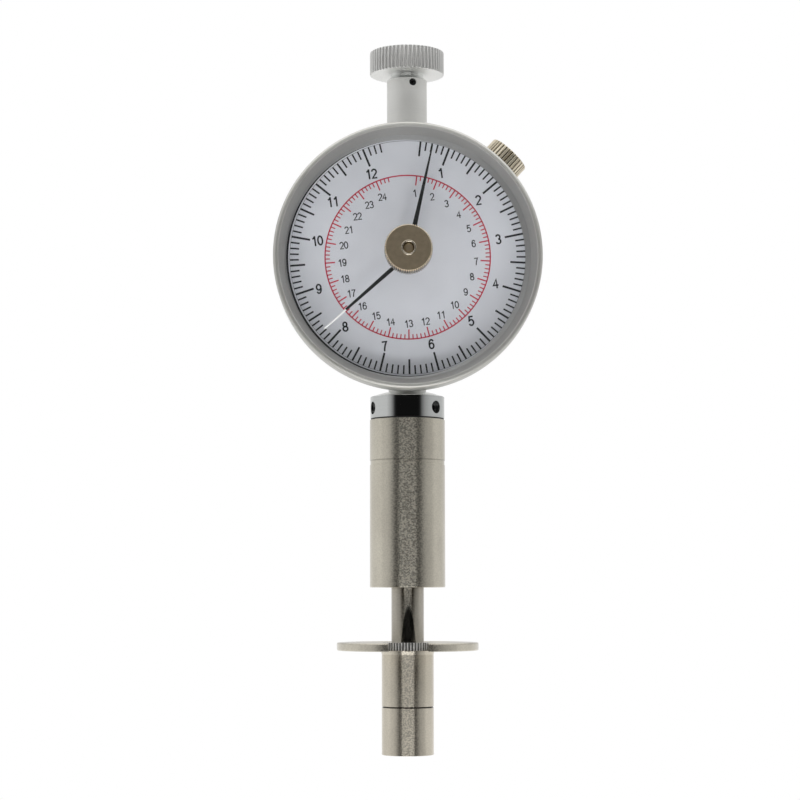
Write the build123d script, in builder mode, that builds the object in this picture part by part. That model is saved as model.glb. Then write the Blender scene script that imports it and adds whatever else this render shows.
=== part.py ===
from build123d import *
import math
import os

# Fruit penetrometer, millimetres. The plunger runs along Z, with the pressure face at the origin.
# The dial faces -Y, and a press on the cap drives the plunger up into the barrel.

# Fits
running_clearance = 0.05
seat_clearance = 0.02
moving_gap = 0.3
rest_gap = 0.1
travel = 9.3

# Pressure head
head_diameter = 11.0
head_length = 21.85
head_bevel = 0.2
head_lip = 0.2
head_lip_height = 0.85
head_lip_bevel = 0.25
depth_line_height = 10.0
depth_line_width = 0.3
depth_line_depth = 0.15
head_teeth = 52
head_tooth_depth = 0.25

# Splash guard
guard_diameter = 30.0
guard_thickness = 1.65
guard_slot_width = 8.3
guard_bevel = 0.2

# Plunger rod and spindle
rod_diameter = 6.9
rod_exposed = 11.6
rod_neck_diameter = 6.0
rod_neck_length = 18.2
rod_bevel = 0.3
stud_diameter = 5.0
stud_length = 8.0
stud_end_room = 1.0
spindle_diameter = 4.0
spindle_socket_depth = 8.0
spindle_guided_length = 3.0
spindle_bevel = 0.3

# Barrel, bush and spring
barrel_diameter = 16.0
barrel_bore = 13.2
barrel_length = 35.6
barrel_bevel = 0.3
barrel_lip_bore = 9.0
barrel_lip_height = 1.2
grip_line_drop = 8.7
grip_line_width = 1.0
grip_line_depth = 0.1
bush_length = 3.4
follower_diameter = 11.4
follower_thickness = 2.5
follower_hub_wall = 0.5
follower_hub_height = 1.5
spring_wire = 1.5
spring_mean_diameter = 9.6
spring_turns = 8.5

# Clamp collar
collar_diameter = 15.8
collar_height = 4.9
collar_bevel = 0.2
collar_cone_height = 0.8
collar_cone_top_diameter = 10.6
collar_spigot_length = 6.0
collar_spigot_wall = 0.7
spring_seat_depth = 0.5
collar_screw_diameter = 2.7
collar_screw_height = 2.4
collar_screw_recess = 0.9
collar_screw_angles = (-70, 50, 170)
hex_sides = 6
hex_share = 0.5
hex_depth_share = 0.45

# Stems and press cap
lower_stem_diameter = 8.0
upper_stem_diameter = 8.6
upper_stem_exposed = 14.7
stem_inside = 1.0
stem_bevel = 0.5
cap_diameter = 16.0
cap_thickness = 4.9
cap_bevel = 0.35
cap_teeth = 57
cap_tooth_depth = 0.35
cap_spigot_diameter = 5.5
cap_spigot_length = 4.2
cap_screw_diameter = 1.6
cap_screw_drop = 2.3
cap_screw_recess = 0.35
cap_screw_angle = 17

# Case and back cover
case_diameter = 52.6
case_wall = 2.0
case_depth = 16.0
case_front_wall = 1.5
case_front_reach = 7.5
case_bevel = 0.3
cover_thickness = 1.5
cover_bevel = 0.5
post_count = 4
post_diameter = 4.4
post_inset = 1.8
post_start_angle = 22.5
cover_screw_diameter = 1.6
cover_screw_length = 6.0
cover_screw_head = 3.6
cover_screw_head_height = 0.9
slot_width = 0.4
slot_depth = 0.4

# Bezel, dial and crystal
bezel_skirt_wall = 1.95
bezel_overlap = 1.3
bezel_drop = 0.1
bezel_rear_bevel = 0.6
bezel_rounding = 0.9
bezel_crest_width = 0.1
bezel_lip = 0.45
bezel_lip_height = 3.0
snap_ring_width = 0.6
snap_ring_height = 0.8
snap_ring_gap_angle = 20
dial_gap = 0.6
dial_thickness = 0.4
dial_hole = 4.0
dial_ring_height = 0.7
dial_ring_width = 1.33
dial_ring_flare = 0.55
crystal_flange = 0.5
crystal_wall = 1.1
crystal_rise = 2.9
crystal_taper = 0.55
crystal_crown = 2.5
crystal_bush_diameter = 4.0
crystal_bush_flange = 6.4
crystal_bush_flange_height = 0.8
crystal_bush_rivet = 5.6
crystal_bush_rivet_height = 0.4

# Peak pointer, reset knob and main pointer
reset_arbor_diameter = 1.8
reset_rivet_diameter = 2.0
reset_rivet_height = 0.5
reset_rivet_crown_diameter = 1.0
friction_washer_diameter = 6.0
friction_washer_thickness = 0.4
knob_diameter = 10.0
knob_thickness = 5.0
knob_bevel = 0.6
knob_teeth = 64
knob_tooth_depth = 0.22
knob_ring_diameter = 3.1
knob_ring_height = 0.2
knob_eye_diameter = 2.4
knob_eye_depth = 1.0
pointer_thickness = 0.25
pointer_root_width = 0.85
pointer_hub_diameter = 3.0
main_pointer_angle = 12.5
main_pointer_tip_gap = 0.65
main_pointer_tip_width = 0.25
main_pointer_gap = 1.4
main_hub_gap = 0.8
main_hub_height = 1.6
peak_pointer_angle = 228.4
peak_pointer_tip_gap = 1.5
peak_tip_length = 6.1
peak_blade_width = 0.5
peak_tip_width = 0.22
peak_pointer_gap = 2.6
peak_hub_gap = 2.6

# Rack, pinion and their carriers
gear_module = 0.2
pinion_teeth = 16
pressure_angle = 20
pinion_width = 1.0
pinion_gap = 0.8
addendum_share = 0.9
dedendum_share = 1.25
gear_backlash = 0.07
arbor_diameter = 1.6
arbor_pivot_diameter = 1.0
front_bush_diameter = 5.0
front_bush_length = 1.8
rack_back_width = 2.75
rack_thickness = 1.3
rack_end_room = 2.2
rack_eye_height = 5.0
rack_eye_clear = 3.6
rack_eye_wall = 1.4
rack_screw_diameter = 1.6
guide_pin_diameter = 2.0
guide_pin_reach = 10.5
channel_plate_offset = 7.5
channel_plate_thickness = 2.0
channel_foot_width = 3.4
channel_foot_thickness = 1.5
channel_end_wall = 1.6
channel_rear_wall = 1.3
cock_thickness = 1.5
cock_end_gap = 0.2
cock_arm_width = 2.4
cock_foot_offset = 7.0
cock_foot_width = 6.0
cock_foot_height = 9.0
cock_screw_spacing = 5.4
small_screw_diameter = 1.2
small_screw_head = 2.2
small_screw_head_height = 0.7
small_screw_bite = 1.0

# Bezel lock
lock_angle = 43
lock_head_diameter = 9.2
lock_head_length = 4.9
lock_head_bevel = 0.2
lock_head_teeth = 34
lock_tooth_depth = 0.35
lock_shank_diameter = 3.0
lock_shank_inside = 1.0
shoe_thickness = 1.3
shoe_width = 6.4
shoe_rear_reach = 3.5
shoe_corner_radius = 1.6

# Heights along the plunger, each worked out from the one below it
guard_bottom = head_length
guard_top = guard_bottom + guard_thickness
barrel_bottom = guard_top + rod_exposed
barrel_top = barrel_bottom + barrel_length
bush_bottom = barrel_bottom + barrel_lip_height
bush_top = bush_bottom + bush_length
follower_bottom = bush_top + rest_gap
follower_top = follower_bottom + follower_thickness
rod_top = follower_bottom + rod_neck_length
collar_shoulder = barrel_top + collar_height
collar_top = collar_shoulder + collar_cone_height
spring_seat = barrel_top + spring_seat_depth

# Radii round the dial axis, and the height of that axis
case_radius = case_diameter / 2
case_inner_radius = case_radius - case_wall
bezel_bore_radius = case_radius + running_clearance
bezel_radius = bezel_bore_radius + bezel_skirt_wall
bezel_lip_radius = bezel_bore_radius - bezel_lip
bezel_crest_radius = bezel_radius - bezel_rounding - bezel_crest_width
bezel_fill_radius = bezel_bore_radius - seat_clearance
dial_ring_radius = bezel_fill_radius - dial_ring_width
main_pointer_length = dial_ring_radius - main_pointer_tip_gap
peak_pointer_length = dial_ring_radius - peak_pointer_tip_gap
peak_blade_length = peak_pointer_length - peak_tip_length
dial_z = collar_top - bezel_drop + bezel_radius
stem_top = dial_z + case_radius + upper_stem_exposed
upper_stem_bottom = dial_z + case_inner_radius - stem_inside
lower_stem_top = dial_z - case_inner_radius + stem_inside
spindle_top = upper_stem_bottom + spindle_guided_length

# Depths along Y, from the case forward to the knob and back to the cover
case_front = -case_front_reach
case_rear = case_front + case_depth
case_inside_front = case_front + case_front_wall
bezel_rear = case_front + bezel_overlap
dial_back = case_front - dial_gap
dial_face = dial_back - dial_thickness
ring_front = dial_face - dial_ring_height
lip_rear = ring_front - crystal_flange
bezel_crest = lip_rear - bezel_lip_height
crystal_shoulder = lip_rear - crystal_rise
crystal_apex = crystal_shoulder - crystal_crown
crystal_bush_front = crystal_apex - crystal_bush_flange_height
crystal_apex_inside = crystal_apex + crystal_wall
knob_back = crystal_bush_front - friction_washer_thickness
knob_face = knob_back - knob_thickness
main_hub_back = dial_face - main_hub_gap
main_hub_front = main_hub_back - main_hub_height
peak_hub_back = dial_face - peak_hub_gap
front_bush_rear = case_front + front_bush_length
pinion_front = case_inside_front + pinion_gap
pinion_rear = pinion_front + pinion_width
cock_front = pinion_rear + cock_end_gap
cock_rear = cock_front + cock_thickness
rack_front = front_bush_rear + moving_gap
rack_rear = rack_front + rack_thickness

dial_axis = Axis((0, 0, dial_z), (0, 1, 0))
lock_turn = math.radians(lock_angle)
lock_axis = Axis((0, 0, dial_z), (math.sin(lock_turn), 0, math.cos(lock_turn)))


def dial_plane(depth, turn=0.0):
    """Plane across the dial axis, facing the reader, with its x axis turned clockwise from the right."""
    angle = math.radians(turn)
    return Plane(origin=(0, depth, dial_z), x_dir=(math.cos(angle), 0, -math.sin(angle)), z_dir=(0, -1, 0))


def pointer_plane(depth, angle):
    """Plane across the dial axis whose x axis points along a pointer, clockwise from twelve o'clock."""
    return dial_plane(depth, angle - 90)


def radial_plane(height, angle):
    """Plane on the plunger axis that faces outward, at an angle from the front towards the right."""
    turn = math.radians(angle)
    return Plane(origin=(0, 0, height), x_dir=(0, 0, 1), z_dir=(math.sin(turn), -math.cos(turn), 0))


def lock_plane(radius):
    """Plane across the lock screw, at a distance from the dial axis."""
    origin = lock_axis.position + lock_axis.direction * radius
    return Plane(origin=origin, x_dir=(0, 1, 0), z_dir=lock_axis.direction)


def turned(*corners):
    """Profile of a piece turned about the plunger axis, from corners of (radius, height)."""
    with BuildSketch(Plane.XZ) as profile:
        with BuildLine():
            Polyline(*corners, close=True)
        make_face()
    return profile.sketch


def dial_turned(*corners):
    """Profile of a piece turned about the dial axis, from corners of (depth, radius)."""
    with BuildSketch(Plane.YZ) as profile:
        with BuildLine():
            Polyline(*[(depth, dial_z + radius) for depth, radius in corners], close=True)
        make_face()
    return profile.sketch


def bevelled_blank(plane, radius, height, bevel, sides):
    """Many-sided blank with both ends bevelled, one flat for each tooth of the knurl that it trims."""
    with BuildPart() as blank:
        with BuildSketch(plane):
            RegularPolygon(radius, sides, major_radius=False, rotation=180 / sides)
        extrude(amount=height)
        end_faces = blank.faces().sort_by(SortBy.AREA)[-2:]
        chamfer(end_faces.edges(), length=bevel)
    return blank.part


def knurl_outline(tip_radius, tooth_depth, teeth):
    """Corners of a straight knurl seen end on, a tip and a root for each tooth."""
    corners = []
    for index in range(2 * teeth):
        radius = tip_radius - tooth_depth * (index % 2)
        angle = math.pi * index / teeth
        corners.append((radius * math.cos(angle), radius * math.sin(angle)))
    return corners


# Pressure head: a plain cylinder with a depth line, a small lip and a knurled finger band on top
head_radius = head_diameter / 2
head_lip_radius = head_radius + head_lip
head_lip_bottom = guard_bottom - head_lip_height
with BuildPart() as pressure_head:
    revolve(
        turned(
            (0, 0),
            (head_radius - head_bevel, 0),
            (head_radius, head_bevel),
            (head_radius, depth_line_height - depth_line_width / 2),
            (head_radius - depth_line_depth, depth_line_height),
            (head_radius, depth_line_height + depth_line_width / 2),
            (head_radius, head_lip_bottom - head_lip),
            (head_lip_radius, head_lip_bottom),
            (head_lip_radius, guard_bottom - head_lip_bevel),
            (head_lip_radius - head_lip_bevel, guard_bottom),
            (0, guard_bottom),
        ),
        axis=Axis.Z,
    )
    with BuildSketch(Plane.XY.offset(guard_bottom)):
        with BuildLine():
            Polyline(*knurl_outline(head_radius, head_tooth_depth, head_teeth), close=True)
        make_face()
    extrude(amount=guard_thickness)
    with BuildSketch(Plane.XY.offset(guard_top)):
        Circle(stud_diameter / 2 + seat_clearance)
    extrude(amount=-(stud_length + stud_end_room), mode=Mode.SUBTRACT)

# Splash guard: a thin disc gripped on the knurled band, open towards the front
guard_radius = guard_diameter / 2
with BuildPart() as splash_guard:
    revolve(
        turned(
            (head_radius + seat_clearance, guard_bottom),
            (guard_radius - guard_bevel, guard_bottom),
            (guard_radius, guard_bottom + guard_bevel),
            (guard_radius, guard_top - guard_bevel),
            (guard_radius - guard_bevel, guard_top),
            (head_radius + seat_clearance, guard_top),
        ),
        axis=Axis.Z,
    )
    with BuildSketch(Plane.XY.offset(guard_bottom)):
        with Locations((0, -guard_radius / 2)):
            Rectangle(guard_slot_width, guard_radius)
    extrude(amount=guard_thickness, mode=Mode.SUBTRACT)

# Plunger rod: stud below, polished shank, and a neck that carries the follower
rod_radius = rod_diameter / 2
rod_neck_radius = rod_neck_diameter / 2
with BuildPart() as plunger_rod:
    revolve(
        turned(
            (0, guard_top - stud_length),
            (stud_diameter / 2, guard_top - stud_length),
            (stud_diameter / 2, guard_top),
            (rod_radius, guard_top),
            (rod_radius, follower_bottom),
            (rod_neck_radius, follower_bottom),
            (rod_neck_radius, rod_top - rod_bevel),
            (rod_neck_radius - rod_bevel, rod_top),
            (0, rod_top),
        ),
        axis=Axis.Z,
    )
    with BuildSketch(Plane.XY.offset(rod_top)):
        Circle(spindle_diameter / 2 + seat_clearance)
    extrude(amount=-spindle_socket_depth, mode=Mode.SUBTRACT)

# Spring follower: the flange that lifts the lower end of the spring
follower_bore_radius = rod_neck_radius + seat_clearance
follower_hub_radius = rod_neck_radius + follower_hub_wall
with BuildPart() as spring_follower:
    revolve(
        turned(
            (follower_bore_radius, follower_bottom),
            (follower_diameter / 2, follower_bottom),
            (follower_diameter / 2, follower_top),
            (follower_hub_radius, follower_top),
            (follower_hub_radius, follower_top + follower_hub_height),
            (follower_bore_radius, follower_top + follower_hub_height),
        ),
        axis=Axis.Z,
    )

# Spindle: carries the rack through the case and is guided in the upper stem
spindle_radius = spindle_diameter / 2
with BuildPart() as spindle:
    with BuildSketch(Plane.XY.offset(rod_top - spindle_socket_depth)):
        Circle(spindle_radius)
    extrude(amount=spindle_top - rod_top + spindle_socket_depth)
    chamfer(spindle.edges().group_by(Axis.Z)[-1], length=spindle_bevel)

# Barrel: spring housing and hand grip, with a fine line turned near its top
barrel_radius = barrel_diameter / 2
barrel_bore_radius = barrel_bore / 2
grip_line_top = barrel_top - grip_line_drop
grip_line_bottom = grip_line_top - grip_line_width
with BuildPart() as barrel:
    revolve(
        turned(
            (barrel_lip_bore / 2, barrel_bottom),
            (barrel_radius - barrel_bevel, barrel_bottom),
            (barrel_radius, barrel_bottom + barrel_bevel),
            (barrel_radius, grip_line_bottom),
            (barrel_radius - grip_line_depth, grip_line_bottom),
            (barrel_radius - grip_line_depth, grip_line_top),
            (barrel_radius, grip_line_top),
            (barrel_radius, barrel_top - barrel_bevel),
            (barrel_radius - barrel_bevel, barrel_top),
            (barrel_bore_radius, barrel_top),
            (barrel_bore_radius, bush_bottom),
            (barrel_lip_bore / 2, bush_bottom),
        ),
        axis=Axis.Z,
    )

# Lower bush: guides the rod at the mouth of the barrel
with BuildPart() as lower_bush:
    with BuildSketch(Plane.XY.offset(bush_bottom)):
        Circle(barrel_bore_radius - seat_clearance)
        Circle(rod_radius + running_clearance, mode=Mode.SUBTRACT)
    extrude(amount=bush_length)

# Clamp collar: closes the barrel, seats the spring and grips the lower stem with set screws
collar_radius = collar_diameter / 2
collar_bore_radius = lower_stem_diameter / 2 + seat_clearance
collar_spigot_radius = barrel_bore_radius - seat_clearance
collar_pocket_radius = collar_spigot_radius - collar_spigot_wall
collar_screw_z = barrel_top + collar_screw_height
with BuildPart() as clamp_collar:
    revolve(
        turned(
            (collar_pocket_radius, barrel_top - collar_spigot_length),
            (collar_spigot_radius, barrel_top - collar_spigot_length),
            (collar_spigot_radius, barrel_top),
            (collar_radius - collar_bevel, barrel_top),
            (collar_radius, barrel_top + collar_bevel),
            (collar_radius, collar_shoulder),
            (collar_cone_top_diameter / 2, collar_top),
            (collar_bore_radius, collar_top),
            (collar_bore_radius, spring_seat),
            (collar_pocket_radius, spring_seat),
        ),
        axis=Axis.Z,
    )
    for angle in collar_screw_angles:
        with BuildSketch(radial_plane(collar_screw_z, angle)):
            Circle(collar_screw_diameter / 2)
        extrude(amount=collar_diameter, mode=Mode.SUBTRACT)

# Collar set screws: socket grub screws sunk below the surface of the collar
with BuildPart() as collar_set_screws:
    for angle in collar_screw_angles:
        screw_axis = radial_plane(collar_screw_z, angle)
        screw_length = collar_radius - collar_screw_recess - collar_bore_radius
        with BuildSketch(screw_axis.offset(collar_bore_radius)):
            Circle(collar_screw_diameter / 2 - seat_clearance)
        extrude(amount=screw_length)
        with BuildSketch(screw_axis.offset(collar_radius - collar_screw_recess)):
            RegularPolygon(collar_screw_diameter / 2 * hex_share, hex_sides)
        extrude(amount=-screw_length * hex_depth_share, mode=Mode.SUBTRACT)

# Force spring: one square wire wound between the follower and its seat in the collar
spring_height = spring_seat - follower_top - spring_wire
with BuildPart() as force_spring:
    with BuildLine() as spring_path:
        Helix(
            pitch=spring_height / spring_turns,
            height=spring_height,
            radius=spring_mean_diameter / 2,
            center=(0, 0, follower_top + spring_wire / 2),
        )
    with BuildSketch(Plane(origin=spring_path.line @ 0, x_dir=(1, 0, 0), z_dir=spring_path.line % 0)):
        Rectangle(spring_wire, spring_wire)
    sweep(path=spring_path.line, is_frenet=True)

# Lower stem: tube from the collar into the case
stem_bore_radius = spindle_radius + running_clearance
with BuildPart() as lower_stem:
    with BuildSketch(Plane.XY.offset(spring_seat)):
        Circle(lower_stem_diameter / 2)
        Circle(stem_bore_radius, mode=Mode.SUBTRACT)
    extrude(amount=lower_stem_top - spring_seat)

# Upper stem: guides the spindle and carries the press cap
upper_stem_radius = upper_stem_diameter / 2
cap_spigot_radius = cap_spigot_diameter / 2
cap_screw_z = stem_top - cap_screw_drop
with BuildPart() as upper_stem:
    revolve(
        turned(
            (stem_bore_radius, upper_stem_bottom),
            (upper_stem_radius, upper_stem_bottom),
            (upper_stem_radius, stem_top - stem_bevel),
            (upper_stem_radius - stem_bevel, stem_top),
            (cap_spigot_radius + seat_clearance, stem_top),
            (cap_spigot_radius + seat_clearance, stem_top - cap_spigot_length),
            (stem_bore_radius, stem_top - cap_spigot_length),
        ),
        axis=Axis.Z,
    )
    with BuildSketch(radial_plane(cap_screw_z, cap_screw_angle)):
        Circle(cap_screw_diameter / 2)
    extrude(amount=upper_stem_diameter, mode=Mode.SUBTRACT)

# Press cap: knurled palm button with a spigot into the stem
cap_radius = cap_diameter / 2
with BuildPart() as press_cap:
    with BuildSketch(Plane.XY.offset(stem_top)):
        with BuildLine():
            Polyline(*knurl_outline(cap_radius, cap_tooth_depth, cap_teeth), close=True)
        make_face()
    extrude(amount=cap_thickness)
    add(
        bevelled_blank(Plane.XY.offset(stem_top), cap_radius, cap_thickness, cap_bevel, cap_teeth),
        mode=Mode.INTERSECT,
    )
    with BuildSketch(Plane.XY.offset(stem_top)):
        Circle(cap_spigot_radius)
    extrude(amount=-cap_spigot_length)

# Cap set screw: sunk into the stem wall against the spigot
with BuildPart() as cap_set_screw:
    cap_screw_axis = radial_plane(cap_screw_z, cap_screw_angle)
    cap_screw_length = upper_stem_radius - cap_screw_recess - cap_spigot_radius - seat_clearance
    with BuildSketch(cap_screw_axis.offset(cap_spigot_radius + seat_clearance)):
        Circle(cap_screw_diameter / 2 - seat_clearance)
    extrude(amount=cap_screw_length)
    with BuildSketch(cap_screw_axis.offset(upper_stem_radius - cap_screw_recess)):
        RegularPolygon(cap_screw_diameter / 2 * hex_share, hex_sides)
    extrude(amount=-cap_screw_length * hex_depth_share, mode=Mode.SUBTRACT)

# Places of the small screws inside the case, across and up from the dial axis
cock_screw_x = cock_foot_offset + cock_foot_width / 2
cock_screw_places = [(cock_screw_x, side * cock_screw_spacing / 2) for side in (-1, 1)]
guide_pin_radius = guide_pin_diameter / 2
guide_pin_drop = travel + rack_eye_clear + rack_eye_height / 2
channel_bottom = -guide_pin_drop - guide_pin_radius - running_clearance - channel_end_wall
channel_top = travel - guide_pin_drop + guide_pin_radius + running_clearance + channel_end_wall
channel_height = channel_top - channel_bottom
channel_middle = (channel_top + channel_bottom) / 2
channel_screw_x = -channel_plate_offset - channel_plate_thickness - channel_foot_width / 2
channel_screw_places = [(channel_screw_x, channel_middle + side * channel_height / 4) for side in (-1, 1)]
small_screw_end = case_inside_front - small_screw_bite

# Case body: a cup with its wall to the front, bored for both stems, the lock screw and the arbor bush
post_circle_radius = case_inner_radius - post_inset
lock_hole_radius = lock_shank_diameter / 2 + running_clearance
snap_ring_middle = (case_front + bezel_rear) / 2
snap_groove_radius = case_radius - snap_ring_height / 2
with BuildPart() as case_body:
    with BuildSketch(dial_plane(case_rear)):
        Circle(case_radius)
    extrude(amount=case_depth)
    with BuildSketch(dial_plane(case_rear)):
        Circle(case_inner_radius)
    extrude(amount=case_depth - case_front_wall, mode=Mode.SUBTRACT)
    with BuildSketch(dial_plane(case_rear)):
        with PolarLocations(post_circle_radius, post_count, start_angle=post_start_angle):
            Circle(post_diameter / 2)
    extrude(amount=case_depth - case_front_wall)
    with BuildSketch(dial_plane(case_rear)):
        with PolarLocations(post_circle_radius, post_count, start_angle=post_start_angle):
            Circle(cover_screw_diameter / 2 + seat_clearance)
    extrude(amount=cover_screw_length, mode=Mode.SUBTRACT)
    with BuildSketch(Plane.XY.offset(dial_z)):
        Circle(upper_stem_radius + seat_clearance)
    extrude(amount=case_diameter, mode=Mode.SUBTRACT)
    with BuildSketch(Plane.XY.offset(dial_z)):
        Circle(lower_stem_diameter / 2 + seat_clearance)
    extrude(amount=-case_diameter, mode=Mode.SUBTRACT)
    with BuildSketch(lock_plane(0)):
        Circle(lock_hole_radius)
    extrude(amount=case_diameter, mode=Mode.SUBTRACT)
    with BuildSketch(dial_plane(case_inside_front)):
        Circle(front_bush_diameter / 2 + seat_clearance)
        with Locations(*cock_screw_places, *channel_screw_places):
            Circle(small_screw_diameter / 2 + seat_clearance)
    extrude(amount=case_front_wall, mode=Mode.SUBTRACT)
    with BuildSketch(dial_plane(snap_ring_middle + snap_ring_width / 2)):
        Circle(bezel_bore_radius)
        Circle(snap_groove_radius, mode=Mode.SUBTRACT)
    extrude(amount=snap_ring_width, mode=Mode.SUBTRACT)
    front_circles = case_body.edges().filter_by(GeomType.CIRCLE).group_by(Axis.Y)[0]
    chamfer(front_circles.sort_by(SortBy.RADIUS)[-1], length=case_bevel)

# Back cover: a flat plate with a bevelled edge, held by sunk screws
with BuildPart() as back_cover:
    with BuildSketch(dial_plane(case_rear + cover_thickness)):
        Circle(case_radius)
    extrude(amount=cover_thickness)
    chamfer(back_cover.edges().group_by(Axis.Y)[-1], length=cover_bevel)
    with Locations(dial_plane(case_rear + cover_thickness).rotated((180, 0, 0))):
        with PolarLocations(post_circle_radius, post_count, start_angle=-post_start_angle):
            CounterBoreHole(
                radius=cover_screw_diameter / 2 + seat_clearance,
                counter_bore_radius=cover_screw_head / 2 + seat_clearance,
                counter_bore_depth=cover_screw_head_height,
            )

# Back cover screws: slotted cheese heads, flush with the cover
cover_outside = case_rear + cover_thickness
cover_screw_seat = cover_outside - cover_screw_head_height
with BuildPart() as back_cover_screws:
    with BuildSketch(dial_plane(cover_outside)):
        with PolarLocations(post_circle_radius, post_count, start_angle=post_start_angle):
            Circle(cover_screw_head / 2)
    extrude(amount=cover_screw_head_height)
    with BuildSketch(dial_plane(cover_screw_seat)):
        with PolarLocations(post_circle_radius, post_count, start_angle=post_start_angle):
            Circle(cover_screw_diameter / 2)
    extrude(amount=cover_screw_length)
    with BuildSketch(dial_plane(cover_outside)):
        with PolarLocations(post_circle_radius, post_count, start_angle=post_start_angle):
            Rectangle(slot_width, cover_screw_head)
    extrude(amount=slot_depth, mode=Mode.SUBTRACT)

# Front bush: the pointer arbor's bearing in the case's front wall
arbor_radius = arbor_diameter / 2
with BuildPart() as front_bush:
    with BuildSketch(dial_plane(front_bush_rear)):
        Circle(front_bush_diameter / 2)
        Circle(arbor_radius + running_clearance, mode=Mode.SUBTRACT)
    extrude(amount=front_bush_length)

# Pinion cock: bridge that carries the rear pivot of the arbor
pivot_radius = arbor_pivot_diameter / 2
with BuildPart() as pinion_cock:
    with BuildSketch(dial_plane(cock_rear)):
        Circle(cock_arm_width / 2)
        with Locations((cock_foot_offset / 2, 0)):
            Rectangle(cock_foot_offset, cock_arm_width)
    extrude(amount=cock_thickness)
    with BuildSketch(dial_plane(cock_rear)):
        with Locations((cock_screw_x, 0)):
            RectangleRounded(cock_foot_width, cock_foot_height, radius=cock_arm_width / 2)
    extrude(amount=cock_rear - case_inside_front)
    with BuildSketch(dial_plane(cock_rear)):
        Circle(pivot_radius + running_clearance)
        with Locations(*cock_screw_places):
            Circle(small_screw_diameter / 2 + seat_clearance)
    extrude(amount=cock_rear - case_inside_front, mode=Mode.SUBTRACT)

# Cock screws
with BuildPart() as cock_screws:
    with BuildSketch(dial_plane(cock_rear)):
        with Locations(*cock_screw_places):
            Circle(small_screw_diameter / 2)
    extrude(amount=cock_rear - small_screw_end)
    with BuildSketch(dial_plane(cock_rear)):
        with Locations(*cock_screw_places):
            Circle(small_screw_head / 2)
    extrude(amount=-small_screw_head_height)

# Guide channel: slotted bracket that stops the spindle from turning
channel_foot_rear = case_inside_front + channel_foot_thickness
channel_plate_depth = guide_pin_radius + running_clearance + channel_rear_wall
channel_plate_middle = -channel_plate_offset - channel_plate_thickness / 2
channel_foot_middle = -channel_plate_offset - (channel_plate_thickness + channel_foot_width) / 2
with BuildPart() as guide_channel:
    with BuildSketch(dial_plane(channel_foot_rear)):
        with Locations((channel_foot_middle, channel_middle)):
            Rectangle(channel_plate_thickness + channel_foot_width, channel_height)
    extrude(amount=channel_foot_thickness)
    with BuildSketch(dial_plane(channel_plate_depth)):
        with Locations((channel_plate_middle, channel_middle)):
            Rectangle(channel_plate_thickness, channel_height)
    extrude(amount=channel_plate_depth - channel_foot_rear)
    with BuildSketch(Plane.YZ.offset(-channel_plate_offset)):
        with Locations((0, dial_z + channel_middle)):
            SlotCenterToCenter(travel, guide_pin_diameter + 2 * running_clearance, rotation=90)
    extrude(amount=-channel_plate_thickness, mode=Mode.SUBTRACT)
    with BuildSketch(dial_plane(channel_foot_rear)):
        with Locations(*channel_screw_places):
            Circle(small_screw_diameter / 2 + seat_clearance)
    extrude(amount=channel_foot_thickness, mode=Mode.SUBTRACT)

# Guide channel screws
with BuildPart() as guide_channel_screws:
    with BuildSketch(dial_plane(channel_foot_rear)):
        with Locations(*channel_screw_places):
            Circle(small_screw_diameter / 2)
    extrude(amount=channel_foot_rear - small_screw_end)
    with BuildSketch(dial_plane(channel_foot_rear)):
        with Locations(*channel_screw_places):
            Circle(small_screw_head / 2)
    extrude(amount=-small_screw_head_height)

# Rack: toothed bar beside the spindle, with an eye at each end that grips the spindle
pitch_radius = gear_module * pinion_teeth / 2
tooth_pitch = math.pi * gear_module
tooth_width = (tooth_pitch - gear_backlash) / 2
addendum = gear_module * addendum_share
dedendum = gear_module * dedendum_share
flank_slope = math.tan(math.radians(pressure_angle))
rack_tip_x = -pitch_radius + addendum
rack_root_x = -pitch_radius - dedendum
rack_back_x = rack_root_x - rack_back_width
eye_right_x = spindle_radius + rack_eye_wall
eye_rear = spindle_radius + rack_eye_wall
upper_eye_bottom = rack_eye_clear
upper_eye_top = upper_eye_bottom + rack_eye_height
lower_eye_top = -travel - rack_eye_clear
lower_eye_bottom = lower_eye_top - rack_eye_height
first_tooth = math.ceil((lower_eye_top + tooth_pitch) / tooth_pitch)
last_tooth = math.floor(rack_end_room / tooth_pitch)
rack_corners = [(rack_back_x, lower_eye_bottom), (rack_root_x, lower_eye_bottom)]
for index in range(first_tooth, last_tooth + 1):
    tooth_middle = (index + 0.5) * tooth_pitch
    root_half = tooth_width / 2 + dedendum * flank_slope
    tip_half = tooth_width / 2 - addendum * flank_slope
    rack_corners.append((rack_root_x, tooth_middle - root_half))
    rack_corners.append((rack_tip_x, tooth_middle - tip_half))
    rack_corners.append((rack_tip_x, tooth_middle + tip_half))
    rack_corners.append((rack_root_x, tooth_middle + root_half))
rack_corners += [(rack_root_x, upper_eye_top), (rack_back_x, upper_eye_top)]
eye_middles = [(eye_bottom + rack_eye_height / 2) for eye_bottom in (lower_eye_bottom, upper_eye_bottom)]
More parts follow.
